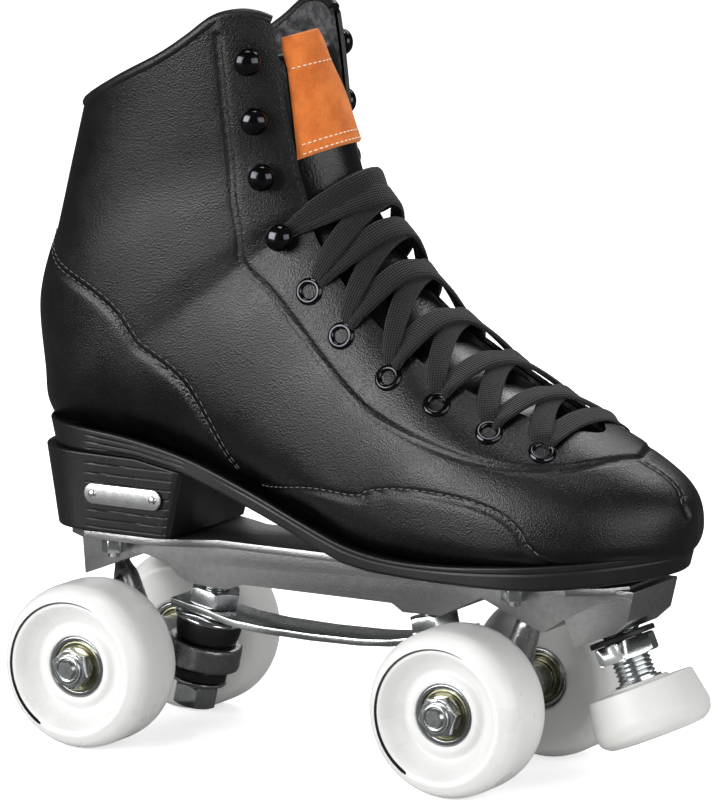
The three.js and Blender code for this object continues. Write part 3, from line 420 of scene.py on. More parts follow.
SQUARE_UNDER = np.array([  # place, and how square the lower half of the section is: 2 is an ellipse
    (0, 2.2), (0.1, 3.2), (0.21, 3.8), (0.35, 3.6), (0.49, 2.8), (0.61, 2.4), (0.76, 2.2), (1.08, 2.2)])
SQUARE_TOP = 2.2
TOE_INSET = 1.0  # mm that the toe's tip sits nearer the inner side
TOE_INSET_END = 0.2  # place where the toe is back on the middle


def through(pairs, at):
    """A smooth curve through (place, value) rows, read at many places at once."""
    x, y = pairs[:, 0], pairs[:, 1]
    before = np.maximum(np.arange(len(x)) - 1, 0)
    after = np.minimum(np.arange(len(x)) + 1, len(x) - 1)
    slopes = (y[after] - y[before]) / (x[after] - x[before])
    i = np.clip(np.searchsorted(x, at, side="right") - 1, 0, len(x) - 2)
    span = x[i + 1] - x[i]
    t = (at - x[i]) / span
    return ((2 * t**3 - 3 * t**2 + 1) * y[i] + (t**3 - 2 * t**2 + t) * span * slopes[i]
            + (3 * t**2 - 2 * t**3) * y[i + 1] + (t**3 - t**2) * span * slopes[i + 1])


def boot_points(s, angle, depth=0.0):
    """Points of the boot's surface in the row frame, `depth` millimetres inside it."""
    s, angle, depth = np.broadcast_arrays(*[np.asarray(x, float) for x in (s, angle, depth)])
    side = np.where(angle <= 180, -1.0, 1.0)
    phi = np.radians(np.where(angle <= 180, angle - 90, 270 - angle))
    back_x, back_z, front_x, front_z, half = [through(SECTIONS[:, [0, k]], s) for k in range(1, 6)]
    length = np.hypot(front_x - back_x, front_z - back_z)
    ux, uz = (front_x - back_x) / length, (front_z - back_z) / length
    power = 2 / np.where(phi < 0, through(SQUARE_UNDER, s), SQUARE_TOP)
    out, rise = np.abs(np.cos(phi)) ** power, np.abs(np.sin(phi)) ** power
    widest = through(WIDEST, s)
    t = np.where(phi < 0, widest * (1 - rise), widest + (1 - widest) * rise)
    along = depth + (length - 2 * depth) * t
    shift = TOE_INSET * np.maximum(0, 1 - s / TOE_INSET_END)
    y = shift + side * out * (half - depth)
    x, z = back_x + ux * along, back_z + uz * along
    return np.stack([MIDDLE_X + x * MM, y * MM, PLATE_TOP + z * MM], -1)


def boot_normals(s, angle):
    """Outward directions at those places."""
    s, angle = np.broadcast_arrays(np.asarray(s, float), np.asarray(angle, float))
    ahead = boot_points(s + 0.004, angle) - boot_points(s - 0.004, angle)
    round_it = boot_points(s, angle + 1) - boot_points(s, angle - 1)
    normal = np.cross(round_it, ahead)
    return normal / np.maximum(np.linalg.norm(normal, axis=-1, keepdims=True), 1e-12)


print("boot length", round(float(np.ptp(boot_points(np.linspace(0, 1, 50), 0)[:, 0])), 4))

# %% [markdown]
# The throat is the opening that the laces close. The edge of each facing is a line of angles along the
# boot. The collar is cut in side view: low at the back, rising to the two front flaps.

# %% Edges and seams as lines on the boot
THROAT_START = 0.17
FACING_EDGE = np.array([
    (THROAT_START, 176), (0.19, 166), (0.22, 161), (0.27, 154), (0.33, 149), (0.4, 144.5), (0.5, 138.5),
    (0.59, 138.5), (0.69, 144), (0.79, 143), (0.88, 141), (1.08, 142)])
COLLAR_EDGE = np.array([  # x and height in mm
    (-126, 150), (-95, 152.5), (-84, 156.5), (-66, 165.5), (-48, 174.5), (-36, 182.5), (-27, 189.5),
    (-17, 191.5), (-9, 188), (-5.5, 181), (-3, 171)])
EYESTAY_SEAM = [
    (1.0, 114.9), (0.97, 113.1), (0.912, 113.1), (0.827, 114.9), (0.764, 118.5), (0.699, 120.3), (0.632, 117.6),
    (0.574, 112.8), (0.524, 111.3), (0.469, 111.3), (0.416, 113.1), (0.366, 115.2), (0.338, 116.5),
    (0.308, 117.6), (0.274, 118.8), (0.24, 120.5), (0.21, 122.4), (0.18, 126.2), (0.148, 133.4), (0.126, 145),
    (0.114, 161), (0.109, 180)]
COUNTER_SEAM = [
    (0.835, 0), (0.822, 8), (0.79, 33), (0.774, 47), (0.75, 64), (0.722, 76), (0.688, 83.5), (0.652, 85),
    (0.62, 79), (0.588, 68), (0.57, 59.5), (0.556, 48), (0.544, 33), (0.53, 15)]
WING_SEAM = [
    (0.54, 20), (0.528, 28), (0.508, 51), (0.492, 62.5), (0.474, 72.5), (0.456, 80.5), (0.438, 86),
    (0.418, 89.5), (0.396, 92), (0.374, 94.3), (0.332, 98), (0.292, 100.8), (0.25, 102), (0.218, 99.8),
    (0.196, 93.2), (0.184, 83), (0.178, 64), (0.176, 40)]
TOE_SEAM = [(0.11, 177), (0.088, 178.5), (0.056, 179), (0.028, 178), (0.004, 152)]
BACK_SEAM = [(1.0, 7), (0.9, 7.5), (0.82, 9)]


def facing_edge(s):
    return np.where(s < THROAT_START, 180.0, through(FACING_EDGE, np.maximum(s, THROAT_START)))


def eased(values, reach=0.07):
    """Evens out the corners of a line of values, and keeps its two ends."""
    count = len(values)
    half = int(count * reach * 2.5)
    weights = np.exp(-0.5 * (np.arange(-half, half + 1) / (count * reach)) ** 2)
    before = 2 * values[0] - values[half:0:-1]
    after = 2 * values[-1] - values[-2:-half - 2:-1]
    return np.convolve(np.concatenate([before, values, after]), weights / weights.sum(), mode="valid")


def seam_line(places, side, steps=260):
    """A smooth line through places on the boot, as even steps of (s, angle), on one side of it."""
    rows = np.array(places, float)
    points = boot_points(rows[:, 0], rows[:, 1])
    run = np.concatenate([[0], np.cumsum(np.linalg.norm(np.diff(points, axis=0), axis=1))])
    even = np.linspace(0, run[-1], steps)
    s = eased(np.interp(even, run, rows[:, 0]))
    angle = eased(np.interp(even, run, rows[:, 1]))
    return s, angle if side < 0 else 360 - angle


SEAMS = {"eyestay": EYESTAY_SEAM, "counter": COUNTER_SEAM, "wing": WING_SEAM, "back": BACK_SEAM}
print("seams:", len(SEAMS) * 2 + 1)

# %% [markdown]
# ### The upper
# One sheet is laid over the whole last, row by row, and each row ends at the throat's edge. The last
# rows stop at the collar's line. The overlays are real layers: the eyestay, the heel counter and the
# toe's wing each stand a little proud, and the seam between them is pulled down by its thread. A
# vertex attribute keeps each point's distance from its nearest seam, and the leather reads it to press
# the groove more sharply than the mesh could. Solidify then gives the sheet its thickness.

# %% A sheet over the last, trimmed by the collar
FLAP_ANGLE = 142.0  # where the collar's line meets the throat
collar_corners = np.linspace(0, 1, len(COLLAR_EDGE))
collar_steps = np.linspace(0, 1, 40)
spline_x, spline_z = [through(np.column_stack([collar_corners, COLLAR_EDGE[:, k]]), collar_steps)
                      for k in (0, 1)]


def collar_place(angle, depth=0.0):
    """The place along the boot where a line at this angle meets the collar."""
    tries = np.linspace(0.9, 1.1, 401)
    points = boot_points(tries, angle, depth)
    x, z = (points[:, 0] - MIDDLE_X) / MM, (points[:, 2] - PLATE_TOP) / MM
    limit = np.interp(x, spline_x, spline_z)
    limit = np.where(x > spline_x[-1], spline_z[-1] - 40 * (x - spline_x[-1]), limit)
    above = np.nonzero(z > limit)[0]
    return tries[above[0]] if len(above) else tries[-1]


def grid_piece(name, points, close_rows=False):
    """A mesh from a grid of points, its faces turned outwards."""
    rows, columns = points.shape[:2]
    index = np.arange(rows * columns).reshape(rows, columns)
    if close_rows:
        index = np.column_stack([index, index[:, :1]])
    quads = np.stack([index[:-1, :-1], index[:-1, 1:], index[1:, 1:], index[1:, :-1]], -1).reshape(-1, 4)
    mesh = bpy.data.meshes.new(name)
    mesh.from_pydata(points.reshape(-1, 3).tolist(), [], quads.tolist())
    piece = bpy.data.objects.new(name, mesh)
    bpy.context.scene.collection.objects.link(piece)
    return piece


def only(piece):
    """Makes one object the whole selection, and active."""
    bpy.ops.object.select_all(action="DESELECT")
    piece.select_set(True)
    bpy.context.view_layer.objects.active = piece


def finish_mesh(piece, merge_mm=0.01, recalculate=True, smooth_angle=40):
    """Merges doubles, turns faces outwards and smooths all but the sharp edges."""
    only(piece)
    bpy.ops.object.mode_set(mode="EDIT")
    bpy.ops.mesh.select_all(action="SELECT")
    bpy.ops.mesh.remove_doubles(threshold=merge_mm * MM)
    if recalculate:
        bpy.ops.mesh.normals_make_consistent(inside=False)
    bpy.ops.object.mode_set(mode="OBJECT")
    bpy.ops.object.shade_smooth_by_angle(angle=math.radians(smooth_angle))
    return piece


def smoothed(piece, angle):
    """Smooths all but the edges sharper than `angle` degrees."""
    only(piece)
    bpy.ops.object.shade_smooth_by_angle(angle=math.radians(angle))
    return piece


def modify(piece, kind, **settings):
    """Adds a modifier and applies it."""
    only(piece)
    made = piece.modifiers.new(kind.lower(), kind)
    for key, value in settings.items():
        setattr(made, key, value)
    bpy.ops.object.modifier_apply(modifier=made.name)
    return piece


def sheet_places(rows, columns, start=0.0, depth=0.0, fan=0.78):
    """Places over the boot between the throat's edges, as grids of s and angle."""
    k = np.linspace(-1, 1, columns)[None, :]
    ends = np.array([collar_place(abs(x) * FLAP_ANGLE, depth) for x in k[0]])[None, :]
    base = np.linspace(start, 1, rows)[:, None]
    s = np.where(base < fan, base, fan + (base - fan) / (1 - fan) * (ends - fan))
    angle = np.abs(k) * facing_edge(s)
    return s, np.where(k < 0, angle, 360 - angle)


print("collar at the back", round(float(collar_place(0)), 3), "at the flap", float(collar_place(140)))

# %% Overlays and seam grooves


def along_seam(places, s):
    """A seam's angle at each place along the boot."""
    line_s, line_angle = seam_line(places, -1)
    order = np.argsort(line_s)
    return np.interp(s, line_s[order], line_angle[order])


def soft_step(value, width):
    t = np.clip(value / width * 0.5 + 0.5, 0, 1)
    return t * t * (3 - 2 * t)


lines = [seam_line(places, side) for places in SEAMS.values() for side in (-1, 1)] + [seam_line(TOE_SEAM, -1)]
all_seams = np.concatenate([boot_points(s, angle) for s, angle in lines])
seam_tree = KDTree(len(all_seams))
for i, p in enumerate(all_seams):
    seam_tree.insert(p, i)
seam_tree.balance()


def overlay_height(s, angle):
    """How far the overlays stand proud, in mm."""
    near = np.where(angle > 180, 360 - angle, angle)
    slope, end = 1.6, 0.004
    eyestay = soft_step(near - along_seam(EYESTAY_SEAM, s), slope) * soft_step(s - 0.11, end)
    counter = soft_step(along_seam(COUNTER_SEAM, s) - near, slope)
    counter *= soft_step(s - 0.53, end) * soft_step(0.83 - s, end)
    wing = soft_step(along_seam(WING_SEAM, s) - near, slope)
    wing *= soft_step(s - 0.18, end) * soft_step(0.545 - s, end)
    stay = soft_step(8 - near, 1.2) * soft_step(s - 0.82, 0.01)
    return 0.75 * eyestay + 0.55 * counter + 0.35 * wing + 0.5 * stay


UPPER_ROWS, UPPER_COLUMNS = 330, 171
s, angle = sheet_places(UPPER_ROWS, UPPER_COLUMNS)
points = boot_points(s, angle)
normals = boot_normals(np.maximum(s, 0.006), angle)
reach = np.array([seam_tree.find(p)[2] for p in points.reshape(-1, 3)]).reshape(s.shape) / MM
GROOVE_DEPTH, GROOVE_HALF_WIDTH = 0.45, 1.5
height = overlay_height(s, angle) - GROOVE_DEPTH * np.exp(-(reach / GROOVE_HALF_WIDTH) ** 2)
points = points + normals * (height * MM)[..., None]
upper = grid_piece("upper_shell", points)
seam_mm = upper.data.attributes.new("seam_mm", "FLOAT", "POINT")
seam_mm.data.foreach_set("value", reach.ravel().astype(np.float32))
print("upper sheet:", len(upper.data.polygons), "faces")

# %% Close the toe and give the leather its thickness
only(upper)
bpy.ops.object.mode_set(mode="EDIT")
bpy.ops.mesh.select_all(action="SELECT")
bpy.ops.mesh.remove_doubles(threshold=0.02 * MM)
bpy.ops.object.mode_set(mode="OBJECT")
work = bmesh.new()
work.from_mesh(upper.data)
tip = [e for e in work.edges if e.is_boundary and all(v.co.x > MIDDLE_X + 143.5 * MM for v in e.verts)]
bmesh.ops.contextual_create(work, geom=tip)
bmesh.ops.recalc_face_normals(work, faces=work.faces)
work.to_mesh(upper.data)
work.free()
LEATHER_THICK, FELT_THICK = 1.5, 1.6
modify(upper, "SOLIDIFY", thickness=LEATHER_THICK * MM, offset=-1, use_even_offset=False)
upper.data.materials.append(boot_leather)
finish_mesh(upper, merge_mm=0.002, recalculate=False, smooth_angle=60)
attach(upper, "boot_and_plate")
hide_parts("boot_upper")
print("upper:", len(upper.data.polygons), "faces")

# %% [markdown]
# ### Lining, binding and tongue
# Behind the leather lies a felt lining, which shows on the inside of the far flap and as a fuzzy edge
# along the throat. A folded strip of leather binds the collar's raw edge. The tongue is a padded leather
# tongue that bulges between the facings, with a brushed suede tab sewn over its top.

# %% Felt lining
s, angle = sheet_places(130, 91, start=0.012, depth=1.6)
lining_points = boot_points(np.minimum(s, 0.9985 * s.max()), angle, 1.65)
lining = grid_piece("felt_lining", lining_points)
finish_mesh(lining, merge_mm=0.02, recalculate=False)
work = bmesh.new()
work.from_mesh(lining.data)
bmesh.ops.recalc_face_normals(work, faces=work.faces)
work.to_mesh(lining.data)
work.free()
modify(lining, "SOLIDIFY", thickness=FELT_THICK * MM, offset=-1, use_even_offset=False)
lining.data.materials.append(felt)
finish_mesh(lining, merge_mm=0.002, recalculate=False, smooth_angle=50)
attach(lining, "boot_and_plate")
print("lining:", len(lining.data.polygons), "faces")

# %% A tube or flat band along a line


def frames_along(points, up):
    """Sideways and upward directions at each point of a line."""
    ahead = np.gradient(points, axis=0)
    ahead /= np.maximum(np.linalg.norm(ahead, axis=1, keepdims=True), 1e-12)
    side = np.cross(up, ahead)
    side /= np.maximum(np.linalg.norm(side, axis=1, keepdims=True), 1e-12)
    rise = np.cross(ahead, side)
    return ahead, side, rise


def swept(name, points, up, outline, sizes=None):
    """A closed band with the same outline, (sideways, up) in mm, at each point of a line."""
    _, side, rise = frames_along(points, up)
    outline = np.asarray(outline, float)
    scale = np.ones((len(points), 2)) if sizes is None else np.asarray(sizes, float)
    ring = points[:, None, :] + MM * (
        side[:, None, :] * (outline[None, :, 0] * scale[:, 0:1])[..., None]
        + rise[:, None, :] * (outline[None, :, 1] * scale[:, 1:2])[..., None])
    count = len(outline)
    piece = grid_piece(name, ring, close_rows=True)
    work = bmesh.new()
    work.from_mesh(piece.data)
    work.verts.ensure_lookup_table()
    last = len(work.verts) - count
    work.faces.new([work.verts[i] for i in range(count)])
    work.faces.new([work.verts[last + i] for i in range(count)])
    bmesh.ops.recalc_face_normals(work, faces=work.faces)
    work.to_mesh(piece.data)
    work.free()
    return piece


def round_outline(radius, sides=10, flat=1.0):
    turns = np.arange(sides) * 2 * math.pi / sides
    return np.column_stack([radius * np.cos(turns), radius * flat * np.sin(turns)])


# %% Collar binding
bind_k = np.linspace(-1, 1, 221)
bind_angle = np.where(bind_k < 0, -bind_k * FLAP_ANGLE, 360 - bind_k * FLAP_ANGLE)
BINDING_DEPTH = 1.4
bind_s = np.array([collar_place(abs(k) * FLAP_ANGLE, BINDING_DEPTH) for k in bind_k])
bind_line = boot_points(bind_s, bind_angle, BINDING_DEPTH)
kernel = np.ones(5) / 5
for axis in range(3):
    padded = np.concatenate([[bind_line[0, axis]] * 2, bind_line[:, axis], [bind_line[-1, axis]] * 2])
    bind_line[:, axis] = np.convolve(padded, kernel, mode="valid")
binding = swept("collar_binding", bind_line, boot_normals(bind_s, bind_angle), round_outline(2.1, 12))
binding.data.materials.append(binding_leather)
finish_mesh(binding)
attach(binding, "boot_and_plate")
print("binding length", round(float(np.linalg.norm(np.diff(bind_line, axis=0), axis=1).sum()), 3))

# %% Tongue
TONGUE_DEPTH = 4.7
TONGUE_THICK = 4.0
TONGUE_CROWN = 1.6
TAB_THICK = 1.5
TAB_RISE = 3.4  # how far the tab's face lies above the tongue's


def top_slab(name, places, centres, half_angles, outer_depth, thickness, crown, columns=31):
    """A cushioned strip over the instep: `half_angles` either side of `centres`, thinner at its edges."""
    k = np.linspace(-1, 1, columns)
    s = np.repeat(places[:, None], columns, 1)
    angle = centres[:, None] + k[None, :] * half_angles[:, None]
    edge = np.sqrt(np.clip(1 - np.abs(k) ** 6, 0, 1))[None, :]
    ends = np.sqrt(np.clip(1 - np.abs(np.linspace(-1, 1, len(places))) ** 40, 0, 1))[:, None]
    full = np.clip(edge * ends, 0.08, 1)
    middle_depth = outer_depth + thickness / 2
    swell = crown * (1 - k[None, :] ** 2) * ends
    upper_side = boot_points(s, angle, middle_depth - full * thickness / 2 - swell)
    lower_side = boot_points(s, angle, middle_depth + full * thickness / 2)
    ring = np.concatenate([upper_side, lower_side[:, ::-1]], axis=1)
    piece = grid_piece(name, ring, close_rows=True)
    work = bmesh.new()
    work.from_mesh(piece.data)
    work.verts.ensure_lookup_table()
    count = columns * 2
    last = len(work.verts) - count
    for base in (0, last):
        for j in range(columns - 1):
            work.faces.new([work.verts[base + i] for i in (j, j + 1, count - 2 - j, count - 1 - j)])
    bmesh.ops.recalc_face_normals(work, faces=work.faces)
    work.to_mesh(piece.data)
    work.free()
    return piece


tongue_places = np.linspace(0.17, 0.957, 150)
tongue_lean = np.interp(tongue_places, [0.6, 0.8, 1.0], [0, 7, 20])
tongue_half = 180 - (through(FACING_EDGE, np.maximum(tongue_places, 0.22)) - 12) - tongue_lean * 0.5
tongue = top_slab("padded_tongue", tongue_places, 180 - tongue_lean, tongue_half, TONGUE_DEPTH, TONGUE_THICK,
                  TONGUE_CROWN, 41)
tongue.data.materials.append(tongue_leather)
finish_mesh(tongue, smooth_angle=60)
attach(tongue, "boot_and_plate")
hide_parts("tongue")

# %% Suede tab
tab_places = np.linspace(0.79, 0.972, 70)
tab_half = np.interp(tab_places, [0.79, 0.93, 0.96, 0.972], [28, 15.5, 14.5, 12.5])
tab_lean = np.interp(tab_places, [0.79, 1.0], [8, 24])
tab = top_slab("suede_tab", tab_places, 180 - tab_lean, tab_half, TONGUE_DEPTH - TAB_RISE, TAB_THICK,
               TONGUE_CROWN, 31)
tab.data.materials.append(suede)
finish_mesh(tab, smooth_angle=50)
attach(tab, "boot_and_plate")
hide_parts("tongue_tab")
print("tongue and tab:", len(tongue.data.polygons), len(tab.data.polygons), "faces")

# %% [markdown]
# ### Stitching
# A stitch is a short bead of thread that sinks into the leather at both ends. A bead has few faces,
# because there are a thousand of them, and all the beads of one thread make one mesh.

# %% Beads of thread along lines


def stitch_row(name, lines, material, length_mm=2.5, pitch_mm=3.3, thick_mm=0.42):
    """Beads along lines given as (points, outward directions)."""
    sides, rings = 6, 5
    turns = np.arange(sides) * 2 * math.pi / sides
    v = np.linspace(-1, 1, rings)
    girth = np.sqrt(np.clip(1 - v**4, 0.03, 1))
    verts, faces = [], []
    for points, normals in lines:
        run = np.concatenate([[0], np.cumsum(np.linalg.norm(np.diff(points, axis=0), axis=1))])
        for at in np.arange(pitch_mm / 2 * MM, run[-1] - pitch_mm / 2 * MM, pitch_mm * MM):
            centre = np.array([np.interp(at, run, points[:, k]) for k in range(3)])
            ahead = np.array([np.interp(at + MM, run, points[:, k]) for k in range(3)]) - centre
            up = np.array([np.interp(at, run, normals[:, k]) for k in range(3)])
            ahead /= max(np.linalg.norm(ahead), 1e-9)
            side = np.cross(up, ahead)
            side /= max(np.linalg.norm(side), 1e-9)
            up = np.cross(ahead, side)
            base = len(verts)
            for j in range(rings):
                lift = thick_mm * 0.35 * (1 - v[j] ** 2) - 0.12
                half = thick_mm / 2 * girth[j]
                for turn in turns:
                    offset = ahead * v[j] * length_mm / 2 + side * math.cos(turn) * half
                    verts.append(centre + MM * (offset + up * (lift + math.sin(turn) * half)))
            for j in range(rings - 1):
                for i in range(sides):
                    a, b = base + j * sides + i, base + j * sides + (i + 1) % sides
                    faces.append((a, b, b + sides, a + sides))
            faces.append(tuple(base + i for i in range(sides))[::-1])
            faces.append(tuple(base + (rings - 1) * sides + i for i in range(sides)))
    mesh = bpy.data.meshes.new(name)
    mesh.from_pydata([tuple(p) for p in verts], [], faces)
    piece = bpy.data.objects.new(name, mesh)
    bpy.context.scene.collection.objects.link(piece)
    piece.data.materials.append(material)
    finish_mesh(piece, merge_mm=0.0001, smooth_angle=80)
    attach(piece, "boot_and_plate")
    return piece


def beside(places, side, offset_mm, lift_mm=0.0, trim=(0, 1)):
    """A line beside a seam, `offset_mm` away from it along the leather, with its outward directions."""
    s, angle = seam_line(places, side)
    cut = slice(int(trim[0] * len(s)), int(trim[1] * len(s)))
    s, angle = s[cut], angle[cut]
    points, normals = boot_points(s, angle), boot_normals(s, angle)
    _, across, _ = frames_along(points, normals)
    moved = points + across * offset_mm * MM
    height = overlay_height(s, angle)[:, None]
    return moved + normals * (np.maximum(height, 0.2) * 0.75 + lift_mm) * MM, normals


rows, dark_rows = [], []
for side in (-1, 1):
    for offset in (0.9, 2.9):
        dark_rows.append(beside(EYESTAY_SEAM, side, -side * offset, 0.1, (0.01, 0.93)))
        rows.append(beside(COUNTER_SEAM, side, -side * offset, trim=(0.08, 0.93)))
    rows.append(beside(WING_SEAM, side, -side, trim=(0.06, 0.93)))
    rows.append(beside(BACK_SEAM, side, -side * 0.8))
    rows.append(beside(TOE_SEAM, -1, side * 1.2, trim=(0.05, 0.9)))
# These rows are sewn in the black thread that is painted grey as a highlight.
boot_stitches = stitch_row("boot_stitching", rows, painted_highlight_thread)
stitch_row("eyestay_stitching", dark_rows, black_thread)
print("boot stitching:", len(boot_stitches.data.polygons), "faces in", len(rows), "rows")

# %% Facing and tab stitching
rows = []
for side in (-1, 1):
    places = np.linspace(0.185, 0.985, 300)
    angles = facing_edge(places) - 2.2
    angles = angles if side < 0 else 360 - angles
    normals = boot_normals(places, angles)
    rows.append((boot_points(places, angles, -0.8), normals))
stitch_row("facing_stitching", rows, black_thread, 2.2, 3.0)
rows = []
for place, share in ((0.797, 0.93), (0.814, 0.93), (0.93, 0.93)):
    half = np.interp(place, tab_places, tab_half) * share
    centre = 180 - np.interp(place, tab_places, tab_lean)
    angles = np.linspace(centre - half, centre + half, 60)
    k = np.linspace(-share, share, 60)
    depth = TONGUE_DEPTH - TAB_RISE - TONGUE_CROWN * (1 - k**2) - 0.12
    where = np.full(60, place)
    rows.append((boot_points(where, angles, depth), boot_normals(where, angles)))
stitch_row("tab_stitching", rows, white_thread, 1.5, 2.1, 0.45)

# %% [markdown]
# ### Eyelets, hooks and rivets
# Six eyelets run up each facing, then four stud hooks. Both are turned shapes: a profile is drawn once,
# spun round its axis, and each copy is turned to stand on the leather.

# %% Turned pieces


def turned_mesh(name, profile, sides=48, closed=False):
    """A profile of (radius, height) in mm, spun about the Z axis in edit mode."""
    mesh = bpy.data.meshes.new(name)
    count = len(profile)
    edges = [(i, i + 1) for i in range(count - 1)] + ([(count - 1, 0)] if closed else [])
    mesh.from_pydata([(r * MM, 0, h * MM) for r, h in profile], edges, [])
    piece = bpy.data.objects.new(name, mesh)
    bpy.context.scene.collection.objects.link(piece)
    only(piece)
    bpy.ops.object.mode_set(mode="EDIT")
    bpy.ops.mesh.select_all(action="SELECT")
    bpy.ops.mesh.spin(steps=sides, angle=2 * math.pi, center=(0, 0, 0), axis=(0, 0, 1))
    bpy.ops.mesh.select_all(action="SELECT")
    bpy.ops.mesh.remove_doubles(threshold=0.004 * MM)
    bpy.ops.mesh.normals_make_consistent(inside=False)
    bpy.ops.object.mode_set(mode="OBJECT")
    return piece


def stand(piece, place, direction, spin=0.0):
    """Turns a piece made about +Z so that +Z points along `direction`, and moves it to `place`."""
    turn = Vector(direction).to_track_quat("Z", "Y").to_matrix().to_4x4()
    piece.data.transform(Matrix.Translation(Vector(place)) @ turn @ Matrix.Rotation(spin, 4, "Z"))
    return piece


def copy_of(piece, name):
    made = bpy.data.objects.new(name, piece.data.copy())
    bpy.context.scene.collection.objects.link(made)
    return made


def joined(name, pieces):
    """Several pieces as one object."""
    bpy.ops.object.select_all(action="DESELECT")
    for piece in pieces:
        piece.select_set(True)
    bpy.context.view_layer.objects.active = pieces[0]
    bpy.ops.object.join()
    pieces[0].name = name
    return pieces[0]


def rounded(profile, radius, steps=4):
    """The same profile with its corners rounded, except for its two ends."""
    made = [profile[0]]
    for before, here, after in zip(profile, profile[1:], profile[2:]):
        before, here, after = Vector(before), Vector(here), Vector(after)
        a, b = before - here, after - here
        reach = min(radius, a.length * 0.45, b.length * 0.45)
        start, end = here + a.normalized() * reach, here + b.normalized() * reach
        for i in range(steps + 1):
            t = i / steps
            made.append(tuple(start * (1 - t) ** 2 + here * 2 * t * (1 - t) + end * t**2))
    made.append(profile[-1])
    return made


# places on the outer side of the boot
EYELETS = [(0.198, 141), (0.261, 137.5), (0.328, 134.8), (0.404, 129.3), (0.496, 124), (0.571, 124.8)]
HOOKS = [(0.662, 131), (0.782, 128.4), (0.87, 126.6), (0.955, 126.6)]
SIDES = {"outer": -1, "inner": 1}


def to_side(place, side):
    return (place[0], place[1] if side < 0 else 360 - place[1])


OVERLAY = 0.75  # how far the facings stand above the last's surface
eyelet = turned_mesh("eyelet", rounded([
    (2.5, -2.4), (2.5, 0.5), (3.1, 1.15), (4.1, 1.2), (4.9, 0.5), (5.0, -0.3), (3.4, -0.3), (3.0, -2.4),
    (2.5, -2.4)], 0.35, 3), 40)
finish_mesh(eyelet, smooth_angle=50)
for side_name, side in SIDES.items():
    rings = []
    for i, place in enumerate(EYELETS):
        s, angle = to_side(place, side)
        ring = copy_of(eyelet, f"{side_name}_eyelet_{i + 1}")
        rings.append(stand(ring, boot_points(s, angle, -OVERLAY), boot_normals(s, angle)))
    ring_set = joined(f"{side_name}_eyelets", rings)
    ring_set.data.materials.append(black_nickel)
    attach(ring_set, "boot_and_plate")
bpy.data.objects.remove(eyelet)

hook = turned_mesh("hook", rounded([
    (0, -1.2), (3.9, -1.0), (4.1, 0.4), (2.3, 0.9), (2.1, 2.6), (4.6, 3.1), (5.05, 4.4), (4.2, 6.6),
    (2.2, 7.7), (0, 7.95)], 1.0, 5), 48)
finish_mesh(hook, smooth_angle=60)
rivet = turned_mesh("rivet", rounded([
    (0, -1.6), (4.6, -1.6), (4.7, -0.4), (3.6, 0.7), (2.3, 0.5), (1.7, -0.3), (1.2, -0.3), (0.9, 0.5),
    (0, 0.7)], 0.4, 4), 40)
finish_mesh(rivet, smooth_angle=60)
for side_name, side in SIDES.items():
    backs = []
    for i, place in enumerate(HOOKS):
        s, angle = to_side(place, side)
        normal = boot_normals(s, angle)
        node = f"{side_name}_lace_hook_{i + 1}"
        stud = stand(copy_of(hook, f"{node}_stud"), boot_points(s, angle, -OVERLAY), normal)
        stud.data.materials.append(black_nickel)
        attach(stud, "boot_and_plate")
        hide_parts(node)
        backs.append(stand(copy_of(rivet, f"{node}_rivet"), boot_points(s, angle, 3.4), -normal))
    back_set = joined(f"{side_name}_hook_rivets", backs)
    back_set.data.materials.append(chrome)
    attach(back_set, "boot_and_plate")
bpy.data.objects.remove(hook)
bpy.data.objects.remove(rivet)
print("eyelets:", 2 * len(EYELETS), "hooks:", 2 * len(HOOKS))

# %% [markdown]
# ### Laces
# A flat lace goes straight across at the toe, then its two ends cross from eyelet to eyelet up the
# boot, and turn round the lowest hooks. Each run is a ribbon that lies on the tongue, climbs over the
# run that it crosses, gathers as it dives into its eyelet, and rolls a little. A UV map in millimetres
# runs along and across the ribbon, so that the weave follows it.

# %% Ribbons from eyelet to eyelet
random.seed(7)
LACE_WIDTH, LACE_THICK = 8.2, 1.9
RIBBON_STEPS, RIBBON_SIDES = 48, 16


